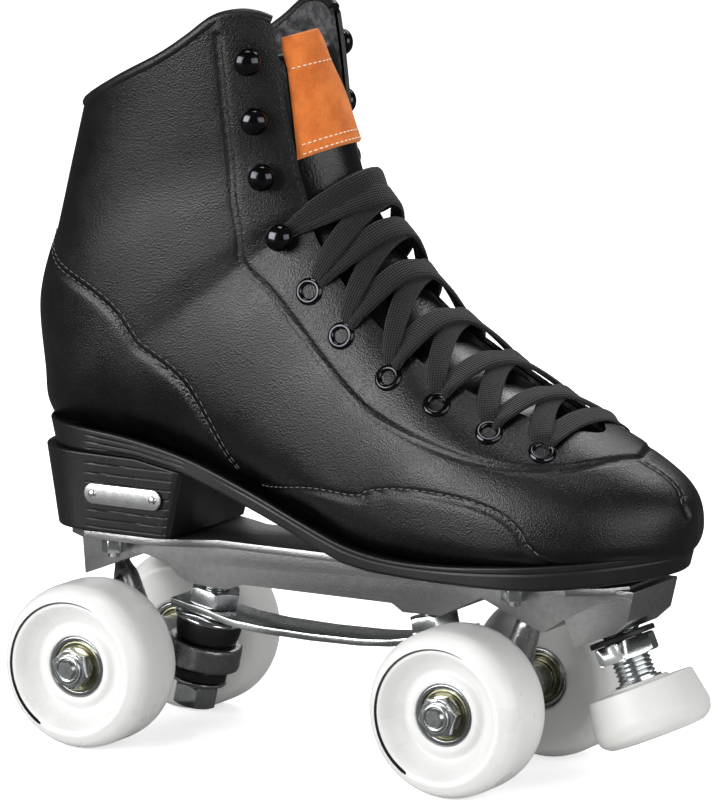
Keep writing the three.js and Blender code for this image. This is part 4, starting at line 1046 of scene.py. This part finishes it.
def lace_run(name, start, end, over, dive=(1, 1), bow=0.0, roll=0.0, width=LACE_WIDTH):
    """One run between two places: `over` lifts its middle, `dive` sinks its ends, `bow` curves it."""
    k = np.linspace(0, 1, RIBBON_STEPS)
    s = start[0] + (end[0] - start[0]) * k + bow * np.sin(math.pi * k)
    angle = start[1] + (end[1] - start[1]) * k
    hump = np.exp(-((k - 0.5) / 0.2) ** 2)
    ends = dive[0] * np.exp(-(k / 0.055) ** 2) + dive[1] * np.exp(-((1 - k) / 0.055) ** 2)
    lift = 2.3 + over * hump - 4.6 * ends
    points = boot_points(s, angle, -lift)
    normals = boot_normals(s, angle)
    _, side, _ = frames_along(points, normals)
    tilt = (roll + 0.35 * (np.exp(-(k / 0.2) ** 2) - np.exp(-((1 - k) / 0.2) ** 2)))[:, None]
    up = normals * np.cos(tilt) + side * np.sin(tilt)
    gather = 1 - 0.5 * np.clip(np.exp(-(k / 0.09) ** 2) + np.exp(-((1 - k) / 0.09) ** 2), 0, 1)
    gather = gather * (1 + 0.05 * np.sin(9 * k + random.uniform(0, 6)))
    turns = np.arange(RIBBON_SIDES) * 2 * math.pi / RIBBON_SIDES
    flat = 2 / 3.2
    across = np.sign(np.cos(turns)) * np.abs(np.cos(turns)) ** flat * width / 2
    high = np.sign(np.sin(turns)) * np.abs(np.sin(turns)) ** 0.8 * LACE_THICK / 2
    fold = 0.35 * np.sin(np.pi * across / width * 2.2)
    thick = 1 + 0.55 * (1 - gather)
    outline = np.column_stack([across, high + fold * 0.5])
    ribbon = swept(name, points, up, outline, np.column_stack([gather, thick]))
    run = np.concatenate([[0], np.cumsum(np.linalg.norm(np.diff(points, axis=0), axis=1))]) / MM
    uv = ribbon.data.uv_layers.new(name="along_across")
    for loop in ribbon.data.loops:
        row, column = divmod(loop.vertex_index, RIBBON_SIDES)
        uv.data[loop.index].uv = (run[row], across[column] * gather[row])
    return ribbon


runs = []
laced = EYELETS + [(HOOKS[0][0], HOOKS[0][1] + 1.5)]
runs.append(lace_run("run", to_side(laced[0], -1), to_side(laced[0], 1), 0.0, bow=-0.006))
for i in range(len(laced) - 1):
    lower, higher = laced[i], laced[i + 1]
    ends = (1, 1) if i < len(laced) - 2 else (1, 0.15)
    runs.append(lace_run("run", to_side(lower, -1), to_side(higher, 1), 0.2, ends, bow=0.004, roll=0.12))
    runs.append(lace_run("run", to_side(lower, 1), to_side(higher, -1), 2.3, ends, bow=0.004, roll=-0.12))
hooked = (HOOKS[0][0] + 0.006, HOOKS[0][1])
runs.append(lace_run("run", to_side(hooked, -1), to_side(hooked, 1), 1.4, (0.2, 0.2), bow=0.012, roll=0.1))
laces = joined("flat_laces", runs)
laces.data.materials.append(lace_weave)
smoothed(laces, 60)
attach(laces, "boot_and_plate")
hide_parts("lace")
print("lace runs:", len(runs), "faces:", len(laces.data.polygons))

# %% [markdown]
# ## Sole and heel
# Both are moulded rubber and both are walls round a plan outline, between a lower and an upper line seen
# from the side. The wall has fine moulded grooves, like the layers of a stacked leather heel, so they are
# cut into the mesh itself.

# %% Walls round an outline
FEATHER = np.array([  # the sole's upper edge in side view, x and height in mm
    (-118, 39.3), (-114, 39), (-76, 37.2), (-55, 34.3), (-38, 30.2), (-16, 22.4), (7, 14.2), (27, 8.4),
    (46, 6.2), (68, 6.5), (94, 8.4), (111, 9.9), (139, 12.8), (152, 13.5)])
UNDERSIDE = np.array([  # and its lower edge
    (-118, 29.7), (-114, 29.7), (-62, 28.8), (-43, 25.5), (-19, 17), (3, 9.4), (16, 4.8), (28, 1.4),
    (40, 0.3), (105, 0.3), (120, 1.8), (135, 3.6), (148, 5), (152, 5.2)])


def closed_loop(half, count):
    """An even, smooth closed outline from its half on the inner side."""
    half = np.asarray(half, float)
    loop = np.concatenate([half, (half * [1, -1])[::-1]])
    loop = np.concatenate([loop, loop[:1]])
    run = np.concatenate([[0], np.cumsum(np.linalg.norm(np.diff(loop, axis=0), axis=1))])
    even = np.linspace(0, run[-1], count, endpoint=False)
    points = np.column_stack([np.interp(even, run, loop[:, k]) for k in range(2)])
    wide = count // 60
    weights = np.exp(-0.5 * (np.arange(-3 * wide, 3 * wide + 1) / wide) ** 2)
    weights /= weights.sum()
    extended = np.concatenate([points[-3 * wide:], points, points[:3 * wide]])
    return np.column_stack([np.convolve(extended[:, k], weights, mode="valid") for k in range(2)])


def wall_piece(name, low_loop, top_loop, low_line, top_line, rows, groove, edge_mm, cap_top, material, node):
    """A closed wall: bottom, rounded edge, grooved side, rounded edge and top."""
    loop = (low_loop + top_loop) / 2
    outward = np.roll(loop, 1, axis=0) - np.roll(loop, -1, axis=0)
    outward = np.column_stack([outward[:, 1], -outward[:, 0]])
    outward /= np.linalg.norm(outward, axis=1, keepdims=True)
    if ((loop - loop.mean(axis=0)) * outward).sum() < 0:
        outward = -outward
    rings = []

    def ring(share, inset=0.0, height=None, squeeze=1.0):
        xy = low_loop * (1 - share) + top_loop * share - outward * np.reshape(inset, (-1, 1))
        low, high = low_line(xy[:, 0]), top_line(xy[:, 0])
        z = low + (high - low) * share if height is None else height(xy[:, 0], low, high)
        rings.append(np.column_stack([xy[:, 0], xy[:, 1] * squeeze, z]))

    for squeeze in (0.0, 0.3, 0.6, 0.85):
        ring(0, edge_mm, squeeze=squeeze)
    for t in np.linspace(0, 1, 5):
        bend = t * math.pi / 2
        ring(0, edge_mm * (1 - math.sin(bend)),
             lambda x, low, high, b=bend: low + edge_mm * (1 - math.cos(b)))
    for v in np.linspace(0, 1, rows)[1:-1]:
        xy = low_loop * (1 - v) + top_loop * v
        low, high = low_line(xy[:, 0]), top_line(xy[:, 0])
        z = (low + edge_mm) + (high - low - edge_mm * 1.6) * v
        depth = groove(xy[:, 0], z, low, high)
        ring(v, depth, lambda x, low, high, z=z: z)
    for t in np.linspace(0, 1, 4):
        bend = t * math.pi / 2
        ring(1, edge_mm * 0.6 * (1 - math.cos(bend)),
             lambda x, low, high, b=bend: high - edge_mm * 0.6 * (1 - math.sin(b)))
    for squeeze, height in cap_top:
        ring(1, edge_mm * 0.6, height, squeeze)
    points = np.array(rings) * MM + np.array([MIDDLE_X, 0, PLATE_TOP])
    piece = grid_piece(name, points, close_rows=True)
    piece.data.materials.append(material)
    finish_mesh(piece, merge_mm=0.01, smooth_angle=40)
    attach(piece, "boot_and_plate")
    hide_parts(node)
    return piece


def pulse(value, at, width):
    return np.exp(-((value - at) / width) ** 2)


SOLE_HALF = [(146.5, 0), (146, 6), (143, 14), (134, 26), (120, 36.5), (98, 44.5), (76, 46.5), (48, 42.5),
             (18, 34.5), (-15, 29), (-50, 29.8), (-86, 29.4), (-95, 27.4), (-102.5, 22.5), (-108.3, 14),
             (-110.8, 6), (-111.5, 0)]
sole_loop = closed_loop(SOLE_HALF, 900)


def boot_bottom(x):
    return np.interp(x, SECTIONS[::-1, 1], SECTIONS[::-1, 2])


def sole_groove(x, z, low, high):
    share = (high - z) / (high - low)
    fade = np.clip((x + 84) / 8, 0, 1) * np.clip((-40 - x) / 8, 0, 1)
    layers = pulse(share, 0.28, 0.03) + pulse(share, 0.55, 0.03) + pulse(share, 0.82, 0.03)
    welt = 0.25 * pulse(share, 0.3, 0.05) * np.clip((x + 30) / 30, 0, 1)
    return 0.34 * fade * layers + welt


def tucked(loop):
    """The sole's lower outline, drawn in a little under the heel's back and under the toe."""
    x = loop[:, 0]
    forward = 2.4 * np.clip((-92 - x) / 16, 0, 1) - 2.0 * np.clip((x - 118) / 26, 0, 1)
    return loop + np.column_stack([forward, np.zeros(len(x))])


def below_boot(drop, rise):
    """The height of the sole's hidden top: `drop` under its edge, and clear of the boot's underside."""
    return lambda x, low, high: np.minimum(high - drop, boot_bottom(x) + rise)


under = [(0.9, lambda x, low, high: high - 0.3), (0.82, below_boot(0.6, 1)), (0.6, below_boot(1.2, -0.5)),
         (0.0, below_boot(1.2, -0.5))]
outsole = wall_piece("moulded_outsole", tucked(sole_loop), sole_loop, lambda x: np.interp(x, *UNDERSIDE.T),
                     lambda x: through(FEATHER, x), 40, sole_groove, 1.2, under, sole_rubber, "outsole")

# %% Heel block
HEEL_HALF_WIDTH = 28.6
HEEL_ROUND_X = -86


def heel_half(breast, back, narrower):
    """Half of the heel's outline: a slightly hollow breast, a flat side and a rounded back."""
    wide = HEEL_HALF_WIDTH - narrower
    front = [(breast, 0), (breast - 0.2, 14), (breast - 0.8, wide - 2), (breast - 2, wide - 0.5),
             (breast - 4, wide)]
    turn = np.radians(np.linspace(0, 90, 16))
    rear_x = HEEL_ROUND_X - (HEEL_ROUND_X - back) * np.sin(turn)
    return front + list(zip(rear_x, wide * np.cos(turn) ** 0.75))


HEEL_LINES = (2.0, 5.0, 8.2, 11.4, 14.8, 18.2, 21.8, 25.3)


def heel_groove(x, z, low, high):
    fade = np.clip((x + 84) / 7, 0, 1) * np.clip((-49.5 + (z - 2) * 0.16 - x) / 1.2, 0, 1)
    return 0.38 * fade * sum(pulse(z, at, 0.2) for at in HEEL_LINES)


flat_top = [(squeeze, lambda x, low, high: high) for squeeze in (0.8, 0.4, 0.0)]


def loop_pair(low, top, count):
    """Two outlines with matching points, so that a wall between them doesn't twist."""
    low, top = np.asarray(low, float), np.asarray(top, float)
    run = np.concatenate([[0], np.cumsum(np.linalg.norm(np.diff((low + top) / 2, axis=0), axis=1))])
    even = np.linspace(0, run[-1], count // 2)
    halves = [np.column_stack([np.interp(even, run, h[:, k]) for k in range(2)]) for h in (low, top)]
    return [np.concatenate([h, (h * [1, -1])[-2:0:-1]]) for h in halves]


low_loop, top_loop = loop_pair(heel_half(-47.8, -103.4, 0.6), heel_half(-41.8, -109.0, -0.6), 720)
heel = wall_piece("moulded_heel", low_loop, top_loop, lambda x: np.full_like(x, 0.3),
                  lambda x: np.interp(x, *UNDERSIDE.T) - 0.2, 120, heel_groove, 1.0, flat_top, sole_rubber,
                  "heel")
print("sole and heel:", len(outsole.data.polygons), len(heel.data.polygons), "faces")

# %% [markdown]
# ### Heel badge
# A small nickel plate is riveted to the heel's outer side. It starts as a flat outline, is extruded and
# its rim is bevelled, and then gets two domed rivets. It is left blank.

# %% Badge
badge_low, badge_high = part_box("heel_badge")
badge_centre = (badge_low + badge_high) / 2
bpy.ops.mesh.primitive_cube_add(size=1, location=(0, 0, 0.5 * MM))
badge = bpy.context.object
badge.name = "nickel_heel_badge"
BADGE_SIZE = (32, 7.4, 1.0)
badge.scale = Vector(BADGE_SIZE) * MM
bpy.ops.object.transform_apply(location=True, rotation=False, scale=True)
only(badge)
bpy.ops.object.mode_set(mode="EDIT")
work = bmesh.from_edit_mesh(badge.data)
for edge in work.edges:
    edge.select = abs(edge.verts[0].co.z - edge.verts[1].co.z) > 0.5 * MM
bmesh.update_edit_mesh(badge.data)
bpy.ops.mesh.select_mode(type="EDGE")
bpy.ops.mesh.bevel(offset=(BADGE_SIZE[1] / 2 - 0.05) * MM, segments=12)
bpy.ops.object.mode_set(mode="OBJECT")
modify(badge, "BEVEL", width=0.3 * MM, segments=3, limit_method="ANGLE", angle_limit=math.radians(50))
dome = turned_mesh("dome", rounded([(0, 0), (1.6, 0.0), (1.55, 1.3), (0.9, 1.7), (0, 1.8)], 0.3, 3), 28)
rivets = [dome, copy_of(dome, "dome_2")]
for sign, piece in zip((-1, 1), rivets):
    piece.data.transform(Matrix.Translation((sign * 12.6 * MM, 0, 0)))
badge = joined("nickel_heel_badge", [badge] + rivets)
stand(badge, (badge_centre.x, badge_high.y - 0.1 * MM, badge_centre.z), (0, -1, 0), spin=math.pi)
badge.data.materials.append(badge_nickel)
finish_mesh(badge, smooth_angle=35)
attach(badge, "boot_and_plate")
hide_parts("heel_badge")
print("badge:", len(badge.data.polygons), "faces")

# %% [markdown]
# ## Plate and trucks
# The plate, the brace and the bolts already have their shape in the CAD. A casting has no knife edges,
# though, so a copy of each is merged, cleaned of its flat triangles and bevelled.

# %% Cast and pressed pieces with softened edges


def round_cross_edges(piece, corner_mm):
    """Rounds the corners of a side outline: the long edges that run straight across the skate."""
    work = bmesh.from_edit_mesh(piece.data)
    for edge in work.edges:
        run = edge.verts[1].co - edge.verts[0].co
        edge.select = abs(run.y) > 24 * MM and abs(run.y) > 0.99 * run.length
    bmesh.update_edit_mesh(piece.data)
    bpy.ops.mesh.bevel(offset=corner_mm * MM, segments=4, clamp_overlap=True)


def softened(node, name, material, bevel_mm, body="boot_and_plate", corner_mm=0):
    """A copy of a CAD node with its flat triangles merged and its edges bevelled."""
    piece = copy_of(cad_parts[node], name)
    piece.parent = None
    for key in list(piece.keys()):
        del piece[key]
    piece.data.materials.clear()
    only(piece)
    bpy.ops.object.mode_set(mode="EDIT")
    bpy.ops.mesh.select_all(action="SELECT")
    bpy.ops.mesh.remove_doubles(threshold=0.003 * MM)
    bpy.ops.mesh.dissolve_limited(angle_limit=math.radians(2))
    if corner_mm:
        round_cross_edges(piece, corner_mm)
    bpy.ops.object.mode_set(mode="OBJECT")
    modify(piece, "BEVEL", width=bevel_mm * MM, segments=2, limit_method="ANGLE",
           angle_limit=math.radians(32))
    piece.data.materials.append(material)
    smoothed(piece, 45)
    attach(piece, body)
    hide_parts(node)
    return piece


plate = softened("plate", "cast_plate", cast_aluminium, 0.6, corner_mm=2.5)
softened("kingpin_brace", "pressed_kingpin_brace", zinc, 0.35)
for end in ("rear", "front"):
    for side_name in SIDES:
        node = f"{end}_{side_name}_mounting_bolt"
        softened(node, f"{node}_bright", zinc, 0.3)
print("plate:", len(plate.data.polygons), "faces")

# %% [markdown]
# ### Nuts, bolts and threads
# A nut is a hexagonal prism whose corners are turned off at about thirty degrees. So a chamfered turned
# blank is crossed with a six-sided prism, and the bore is taken out. A thread is drawn as close rings,
# one per pitch, which look the same as a helix at this size.

# %% Nuts and threads


def hexagon(name, flats, height, bore=0.0, chamfer=0.9):
    """A nut about +Z, from 0 to `height`."""
    corner = flats / 2 / math.cos(math.pi / 6)
    rise = chamfer * 0.6
    blank = turned_mesh(name, [
        (0, 0), (corner - chamfer, 0), (corner + 0.05, rise), (corner + 0.05, height - rise),
        (corner - chamfer, height), (0, height)], 60)
    tools = [("INTERSECT", 6, corner)] + ([("DIFFERENCE", 40, bore)] if bore else [])
    for operation, sides, radius in tools:
        bpy.ops.mesh.primitive_cylinder_add(vertices=sides, radius=radius * MM, depth=(height + 4) * MM,
                                            location=(0, 0, height / 2 * MM))
        tool = bpy.context.object
        modify(blank, "BOOLEAN", operation=operation, object=tool, solver="EXACT")
        bpy.data.objects.remove(tool)
    modify(blank, "BEVEL", width=0.15 * MM, segments=2, limit_method="ANGLE", angle_limit=math.radians(25))
    smoothed(blank, 30)
    return blank


def threaded(low, high, radius, pitch=1.25, depth=0.55):
    """Profile points of a thread, from low to high."""
    count = int((high - low) / pitch)
    step = (high - low) / count
    points = []
    for i in range(count):
        base = low + i * step
        points += [(radius - depth, base), (radius, base + step * 0.38), (radius, base + step * 0.55)]
    return points + [(radius - depth, high)]


def settle(piece, material, slot, body, *nodes):
    """Gives a finished piece its look, hangs it under its body and hides the CAD nodes that it stands for."""
    if material is not None:
        piece.data.materials.clear()
        piece.data.materials.append(material)
    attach(piece, body)
    if nodes:
        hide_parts(*nodes)
    return piece


print("nut helper ready")

# %% Kingpin stack of each truck
LEAN = math.radians(12)
PIN_UP = Vector((math.sin(LEAN), 0, math.cos(LEAN)))
KINGPIN_INSET, PIVOT_OUTSET, PIVOT_RISE = 25, 11, 33.5
RING_X = -(HALF_BASE - KINGPIN_INSET * MM)
PIVOT_PLACE = Vector((-(HALF_BASE + PIVOT_OUTSET * MM), 0, AXLE_Z + PIVOT_RISE * MM))
AXLE_PLACE = Vector((-HALF_BASE, 0, AXLE_Z))
RING_PLACE = Vector((RING_X, 0, AXLE_Z))
END_TURN = {"rear": 0.0, "front": math.pi}


def at_end(piece, end):
    """Moves a piece made for the rear truck to its own end of the skate."""
    piece.data.transform(Matrix.Translation((MIDDLE_X, 0, 0)) @ Matrix.Rotation(END_TURN[end], 4, "Z"))
    return piece


def on_pin(piece, end):
    stand(piece, (0, 0, 0), PIN_UP)
    piece.data.transform(Matrix.Translation(RING_PLACE))
    return at_end(piece, end)


STACK = {
    "upper_cushion": ([
        (5.3, 5.0), (10.6, 5.0), (11.3, 6.2), (11.9, 9.5), (11.9, 12.4), (11.4, 13.3), (5.3, 13.3),
    ], black_rubber, "black_rubber"),
    "lower_cushion": ([
        (5.3, -10), (9.2, -10), (9.9, -9), (9.9, -6), (9.2, -5), (5.3, -5),
    ], black_rubber, "black_rubber"),
    "upper_cup_washer": ([
        (5.3, 14.3), (9, 14.2), (12.3, 13.3), (13.0, 12.9), (13.2, 13.7), (12.6, 14.7), (9.6, 15.6),
        (5.3, 15.6),
    ], chrome, "chrome"),
    "lower_cup_washer": ([
        (5.3, -10.4), (8.4, -10.4), (9.9, -9.7), (10.4, -9.9), (10.2, -10.9), (8.6, -11.9), (5.3, -11.9),
    ], chrome, "chrome"),
}
CUSHION_FIXED = {"upper_cushion": 13.3, "lower_cushion": -10.0}
for end in END_TURN:
    for part, (profile, material, slot) in STACK.items():
        closed = profile + [profile[0]]
        piece = on_pin(turned_mesh(f"{end}_{part}_turned", rounded(closed, 0.5, 4), 64), end)
        finish_mesh(piece, smooth_angle=50)
        settle(piece, material, slot, "boot_and_plate", f"{end}_{part}")
        if part in CUSHION_FIXED:
            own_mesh(piece)
    nut = hexagon(f"{end}_lock_nut_bright", 17, 6.0, bore=4.6)
    nut.data.transform(Matrix.Translation((0, 0, 18.8 * MM)))
    settle(on_pin(nut, end), zinc, "zinc", "boot_and_plate", f"{end}_lock_nut")
    head = hexagon("head", 15, 7.8, chamfer=1.2)
    head.data.transform(Matrix.Translation((0, 0, -20.0 * MM)))
    shank = turned_mesh("shank", [(0, -13), (5, -13), (5, 17)] + threaded(17, 36, 5.0) + [(0, 36.1)], 48)
    pin = on_pin(joined(f"{end}_kingpin_bright", [head, shank]), end)
    smoothed(pin, 35)
    settle(pin, zinc, "zinc", "boot_and_plate", f"{end}_kingpin")
print("stack pieces:", 2 * (len(STACK) + 2))

# %% [markdown]
# ### Truck hangers
# The hanger is one casting: an axle housing, an arm to the ring between the cushions, and a broad pin
# that ends in a ball in the plate's pivot cup. The simple solids are joined, and a voxel remesh with a
# little smoothing melts them into one skin, with the soft fillets that a casting has.

# %% Hanger casting


def spun_between(name, profile, start, direction, sides=40):
    piece = turned_mesh(name, profile, sides)
    return stand(piece, start, direction)


HOUSING_END = 22
pivot_up = PIVOT_PLACE - AXLE_PLACE
reach = pivot_up.length / MM
BALL_RADIUS = 4
ball = [(BALL_RADIUS * math.cos(a), reach + BALL_RADIUS * math.sin(a))
        for a in np.linspace(-0.8, math.pi / 2, 8)[:-1]] + [(0, reach + BALL_RADIUS)]
for end in END_TURN:
    blocks = [
        spun_between("barrel", [
            (0, -HOUSING_END), (6.6, -HOUSING_END), (6.8, -18), (8, -12), (8, 12), (6.8, 18),
            (6.6, HOUSING_END), (0, HOUSING_END)], AXLE_PLACE, (0, 1, 0)),
        spun_between("arm", [(0, 0), (7.4, 0), (4.2, 16), (0, 16)], AXLE_PLACE, RING_PLACE - AXLE_PLACE),
        spun_between("boss", [(0, -4.7), (13.2, -4.7), (13.7, -4.2), (13.7, 4.2), (13.2, 4.7), (0, 4.7)],
                     RING_PLACE, PIN_UP, 64),
        spun_between("pin", [(0, 0), (7.0, 0), (5.6, 14), (4.6, reach - 9), (3.0, reach - 5)] + ball,
                     AXLE_PLACE, pivot_up),
    ]
    bpy.ops.mesh.primitive_cube_add(size=1)
    rib = bpy.context.object
    rib.data.transform(Matrix.Diagonal((10 * MM, 2.6 * MM, 26 * MM, 1)))
    rib.data.transform(Matrix.Translation((4 * MM, 0, 13 * MM)))
    stand(rib, AXLE_PLACE, pivot_up)
    hanger = joined(f"{end}_hanger_casting", blocks + [rib])
    modify(hanger, "REMESH", mode="VOXEL", voxel_size=0.7 * MM)
    modify(hanger, "SMOOTH", factor=0.5, iterations=5)
    for radius, half, place, direction in ((7.0, 12, RING_PLACE, PIN_UP), (4.0, 40, AXLE_PLACE, (0, 1, 0))):
        drill = spun_between("drill", [(0, -half), (radius, -half), (radius, half), (0, half)], place,
                             direction, 48)
        modify(hanger, "BOOLEAN", operation="DIFFERENCE", object=drill, solver="EXACT")
        bpy.data.objects.remove(drill)
    at_end(hanger, end)
    smoothed(hanger, 50)
    settle(hanger, tumbled_aluminium, "tumbled_aluminium", f"{end}_truck", f"{end}_truck_hanger")
    softened(f"{end}_pivot_cup", f"{end}_pivot_cup_rubber", black_rubber, 0.3)
print("hanger:", len(hanger.data.polygons), "faces")

# %% [markdown]
# ### Wheels and bearings
# A wheel is cast round its own hub in one turned shape: a broad tread, a rounded shoulder, a dish in the
# outer face and a lip round the bearing. A tapering crescent is printed on the outer face. Each bearing
# has a ground outer ring and inner ring, and between them a pressed shield.

# %% Wheel
HUB_OFFSET = 2.5  # mm from the middle of the wheel's width to the middle of its hub
HUB_Y = {side_name: middle(f"rear_{side_name}_wheel").y - side * HUB_OFFSET * MM
         for side_name, side in SIDES.items()}
TREAD, BACK_FACE = 30, -13
wheel_master = turned_mesh("wheel_master", rounded([
    (11.15, 11.2), (11.15, 12.5), (13.0, 12.7), (15.6, 10.6), (19.5, 13.2), (22.8, 17.6), (24.4, 17.9),
    (28.0, 15.2), (29.7, 11.6), (TREAD, 8.2), (TREAD, -3.4), (29.5, -7.5), (27.4, -11), (24, BACK_FACE),
    (21, BACK_FACE), (12, BACK_FACE + 0.4), (11.15, BACK_FACE + 1.0), (11.15, -4.8), (9, -4.8), (9, 4.8),
    (11.15, 4.8), (11.15, 11.2)], 2.2, 6), 112)
finish_mesh(wheel_master, smooth_angle=50)
face_line = np.array([
    (22.8, 17.6), (23.6, 17.72), (24.4, 17.62), (25.4, 17.05), (26.4, 16.35), (27.4, 15.55)])
share = np.linspace(0, 1, 120)
turns = math.radians(-151) + share * math.radians(176)
half_width = 0.03 + 0.72 * (1 - share) ** 0.6 * np.minimum(1, 0.55 + share * 20)
crescent = []
for across in np.linspace(-1, 1, 5):
    radius = 24.2 + across * half_width
    height = np.interp(radius, face_line[:, 0], face_line[:, 1]) + 0.14
    crescent.append(np.column_stack([radius * np.sin(turns), radius * np.cos(turns), height]))
crescent_master = grid_piece("crescent_master", np.array(crescent) * MM)
modify(crescent_master, "SOLIDIFY", thickness=0.12 * MM, offset=0)
finish_mesh(crescent_master, smooth_angle=60)

# %% Bearing, nut and axle
outer_ring = turned_mesh("outer", rounded([
    (9.3, -3.5), (10.6, -3.5), (11.0, -3.2), (11.0, 3.2), (10.6, 3.5), (9.3, 3.5), (9.2, 2.6), (9.2, -2.6),
    (9.3, -3.5)], 0.2, 3), 72)
inner_ring = turned_mesh("inner", rounded([
    (4.0, -3.5), (5.6, -3.5), (5.8, -2.8), (5.8, 2.8), (5.6, 3.5), (4.0, 3.5), (4.0, -3.5)], 0.2, 3), 48)
rings = joined("rings", [outer_ring, inner_ring])
rings.data.materials.append(bearing_steel)
shield = turned_mesh("shield", rounded([
    (5.9, -2.9), (9.1, -2.9), (9.1, 2.9), (8.4, 3.0), (7.9, 2.7), (6.6, 2.7), (6.2, 3.0), (5.9, 2.8),
    (5.9, -2.9)], 0.15, 3), 72)
shield.data.materials.append(shield_brass)
bearing_master = joined("bearing_master", [rings, shield])
smoothed(bearing_master, 40)
nut_master = hexagon("axle_nut_master", 13, 5.0, bore=3.7)
collar = turned_mesh("collar", rounded([
    (3.9, 4.6), (5.3, 4.6), (5.2, 6.2), (4.6, 6.5), (3.9, 6.5), (3.9, 4.6)], 0.3, 3), 40)
washer = turned_mesh("washer", rounded([
    (3.95, -0.3), (6.9, -0.3), (7.0, 0.35), (3.95, 0.35), (3.95, -0.3)], 0.12, 2), 48)
nut_master = joined("axle_nut_master", [nut_master, collar, washer])
smoothed(nut_master, 30)
AXLE_HALF, AXLE_RADIUS, THREAD_START = 54.6, 3.85, 46
axle_profile = [(0, -AXLE_HALF), (2.9, -AXLE_HALF)]
axle_profile += threaded(-AXLE_HALF + 0.5, -THREAD_START, AXLE_RADIUS, 1.0, 0.45)
axle_profile += [(AXLE_RADIUS, -THREAD_START + 0.1), (AXLE_RADIUS, THREAD_START - 0.1)]
axle_profile += threaded(THREAD_START, AXLE_HALF - 0.5, AXLE_RADIUS, 1.0, 0.45)
axle_profile += [(2.9, AXLE_HALF), (0, AXLE_HALF)]
axle_master = turned_mesh("axle_master", axle_profile, 40)
smoothed(axle_master, 35)
print("wheel:", len(wheel_master.data.polygons), "faces")

# %% Fit the wheels to the trucks
BEARING_OUT, NUT_OUT = 8.5, 12.5  # mm from the middle of the hub
for end, centre in (("rear", rear_axle), ("front", front_axle)):
    axle = stand(copy_of(axle_master, f"{end}_axle_rod"), centre, (0, 1, 0))
    settle(axle, zinc, "zinc", f"{end}_truck", f"{end}_axle")
    for side_name, side in SIDES.items():
        body = f"{end}_{side_name}_wheel"
        hub = Vector((centre.x, HUB_Y[side_name], AXLE_Z))
        outward = Vector((0, side, 0))
        tyre = stand(copy_of(wheel_master, f"{body}_cast"), hub, outward)
        settle(tyre, urethane, "urethane", body, body)
        mark = stand(copy_of(crescent_master, f"{body}_crescent"), hub, outward)
        settle(mark, ink, "black_rubber", body)
        for name, sign in (("outboard", 1), ("inboard", -1)):
            node = f"{end}_{side_name}_{name}_bearing"
            bearing = stand(copy_of(bearing_master, f"{node}_ground"),
                            hub + outward * sign * BEARING_OUT * MM, outward * sign)
            settle(bearing, None, "bearing_steel", body, node)
        nut = stand(copy_of(nut_master, f"{end}_{side_name}_axle_nut_bright"),
                    hub + outward * NUT_OUT * MM, outward, math.radians(12 if end == "rear" else 40))
        settle(nut, zinc, "zinc", f"{end}_truck", f"{end}_{side_name}_axle_nut")
for master in (wheel_master, crescent_master, bearing_master, nut_master, axle_master):
    bpy.data.objects.remove(master)
print("wheels fitted: 4")

# %% [markdown]
# ### Toe stop
# A threaded stem screws into the plate's nose and is locked by a big nut on a rubber washer. The stop is
# a puck of gum rubber with a broad rounded edge, moulded round the stem's flange.

# %% Toe stop pieces
TILT = math.radians(24)
STOP_AXIS = Vector((math.sin(TILT), 0, -math.cos(TILT)))
STOP_SEAT = Vector((MIDDLE_X + HALF_BASE + 44.6 * MM, 0, PLATE_TOP - 19.9 * MM))
stem_profile = [(0, -13), (6, -13)] + threaded(-12.6, 16.4, 7.0, 1.6, 0.75)
stem_profile += [(7.0, 16.6), (7.0, 17.3), (8.5, 17.3), (8.5, 21.3), (0, 21.3)]
stem = stand(turned_mesh("toe_stop_stem_bright", stem_profile, 64), STOP_SEAT, STOP_AXIS)
smoothed(stem, 35)
settle(stem, zinc, "zinc", "toe_stop", "toe_stop_stem")
stop_washer = turned_mesh("toe_stop_washer_rubber", rounded([
    (7.3, 0.3), (11.6, 0.3), (12.0, 0.8), (11.9, 2.3), (7.3, 2.3), (7.3, 0.3)], 0.3, 3), 56)
stand(stop_washer, STOP_SEAT, STOP_AXIS)
smoothed(stop_washer, 40)
settle(stop_washer, black_rubber, "black_rubber", "boot_and_plate", "toe_stop_washer")
jam = hexagon("toe_stop_jam_nut_bright", 20, 6.5, bore=6.6, chamfer=1.2)
jam.data.transform(Matrix.Translation((0, 0, 2.6 * MM)))
settle(stand(jam, STOP_SEAT, STOP_AXIS, math.radians(12)), zinc, "zinc", "boot_and_plate", "toe_stop_jam_nut")
FLANGE_END = (8.8, 21.5)
pad = turned_mesh("toe_stop_pad_rubber", rounded([
    FLANGE_END, (8.8, 18.2), (10.4, 18.0), (10.8, 19.1), (18.3, 19.2), (19.2, 19.5), (21.5, 31.5),
    (20.4, 35.6), (17.2, 37.8), (12, 38.3), (0, 38.3)], 1.4, 6), 96)
plug = turned_mesh("plug", [(0, FLANGE_END[1]), FLANGE_END], 96)
pad = stand(joined("toe_stop_pad_rubber", [pad, plug]), STOP_SEAT, STOP_AXIS)
finish_mesh(pad, smooth_angle=50)
settle(pad, stop_rubber, "stop_rubber", "toe_stop", "toe_stop_pad")
print("toe stop pad:", len(pad.data.polygons), "faces")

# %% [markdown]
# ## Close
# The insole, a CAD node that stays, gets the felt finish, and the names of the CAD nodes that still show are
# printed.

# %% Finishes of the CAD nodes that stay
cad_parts["insole"].data.materials.clear()
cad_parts["insole"].data.materials.append(felt)
left = [name for name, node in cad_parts.items() if not node.hide_render]
print("CAD nodes still showing:", left)

# %% Finish
bpy.ops.object.select_all(action="DESELECT")
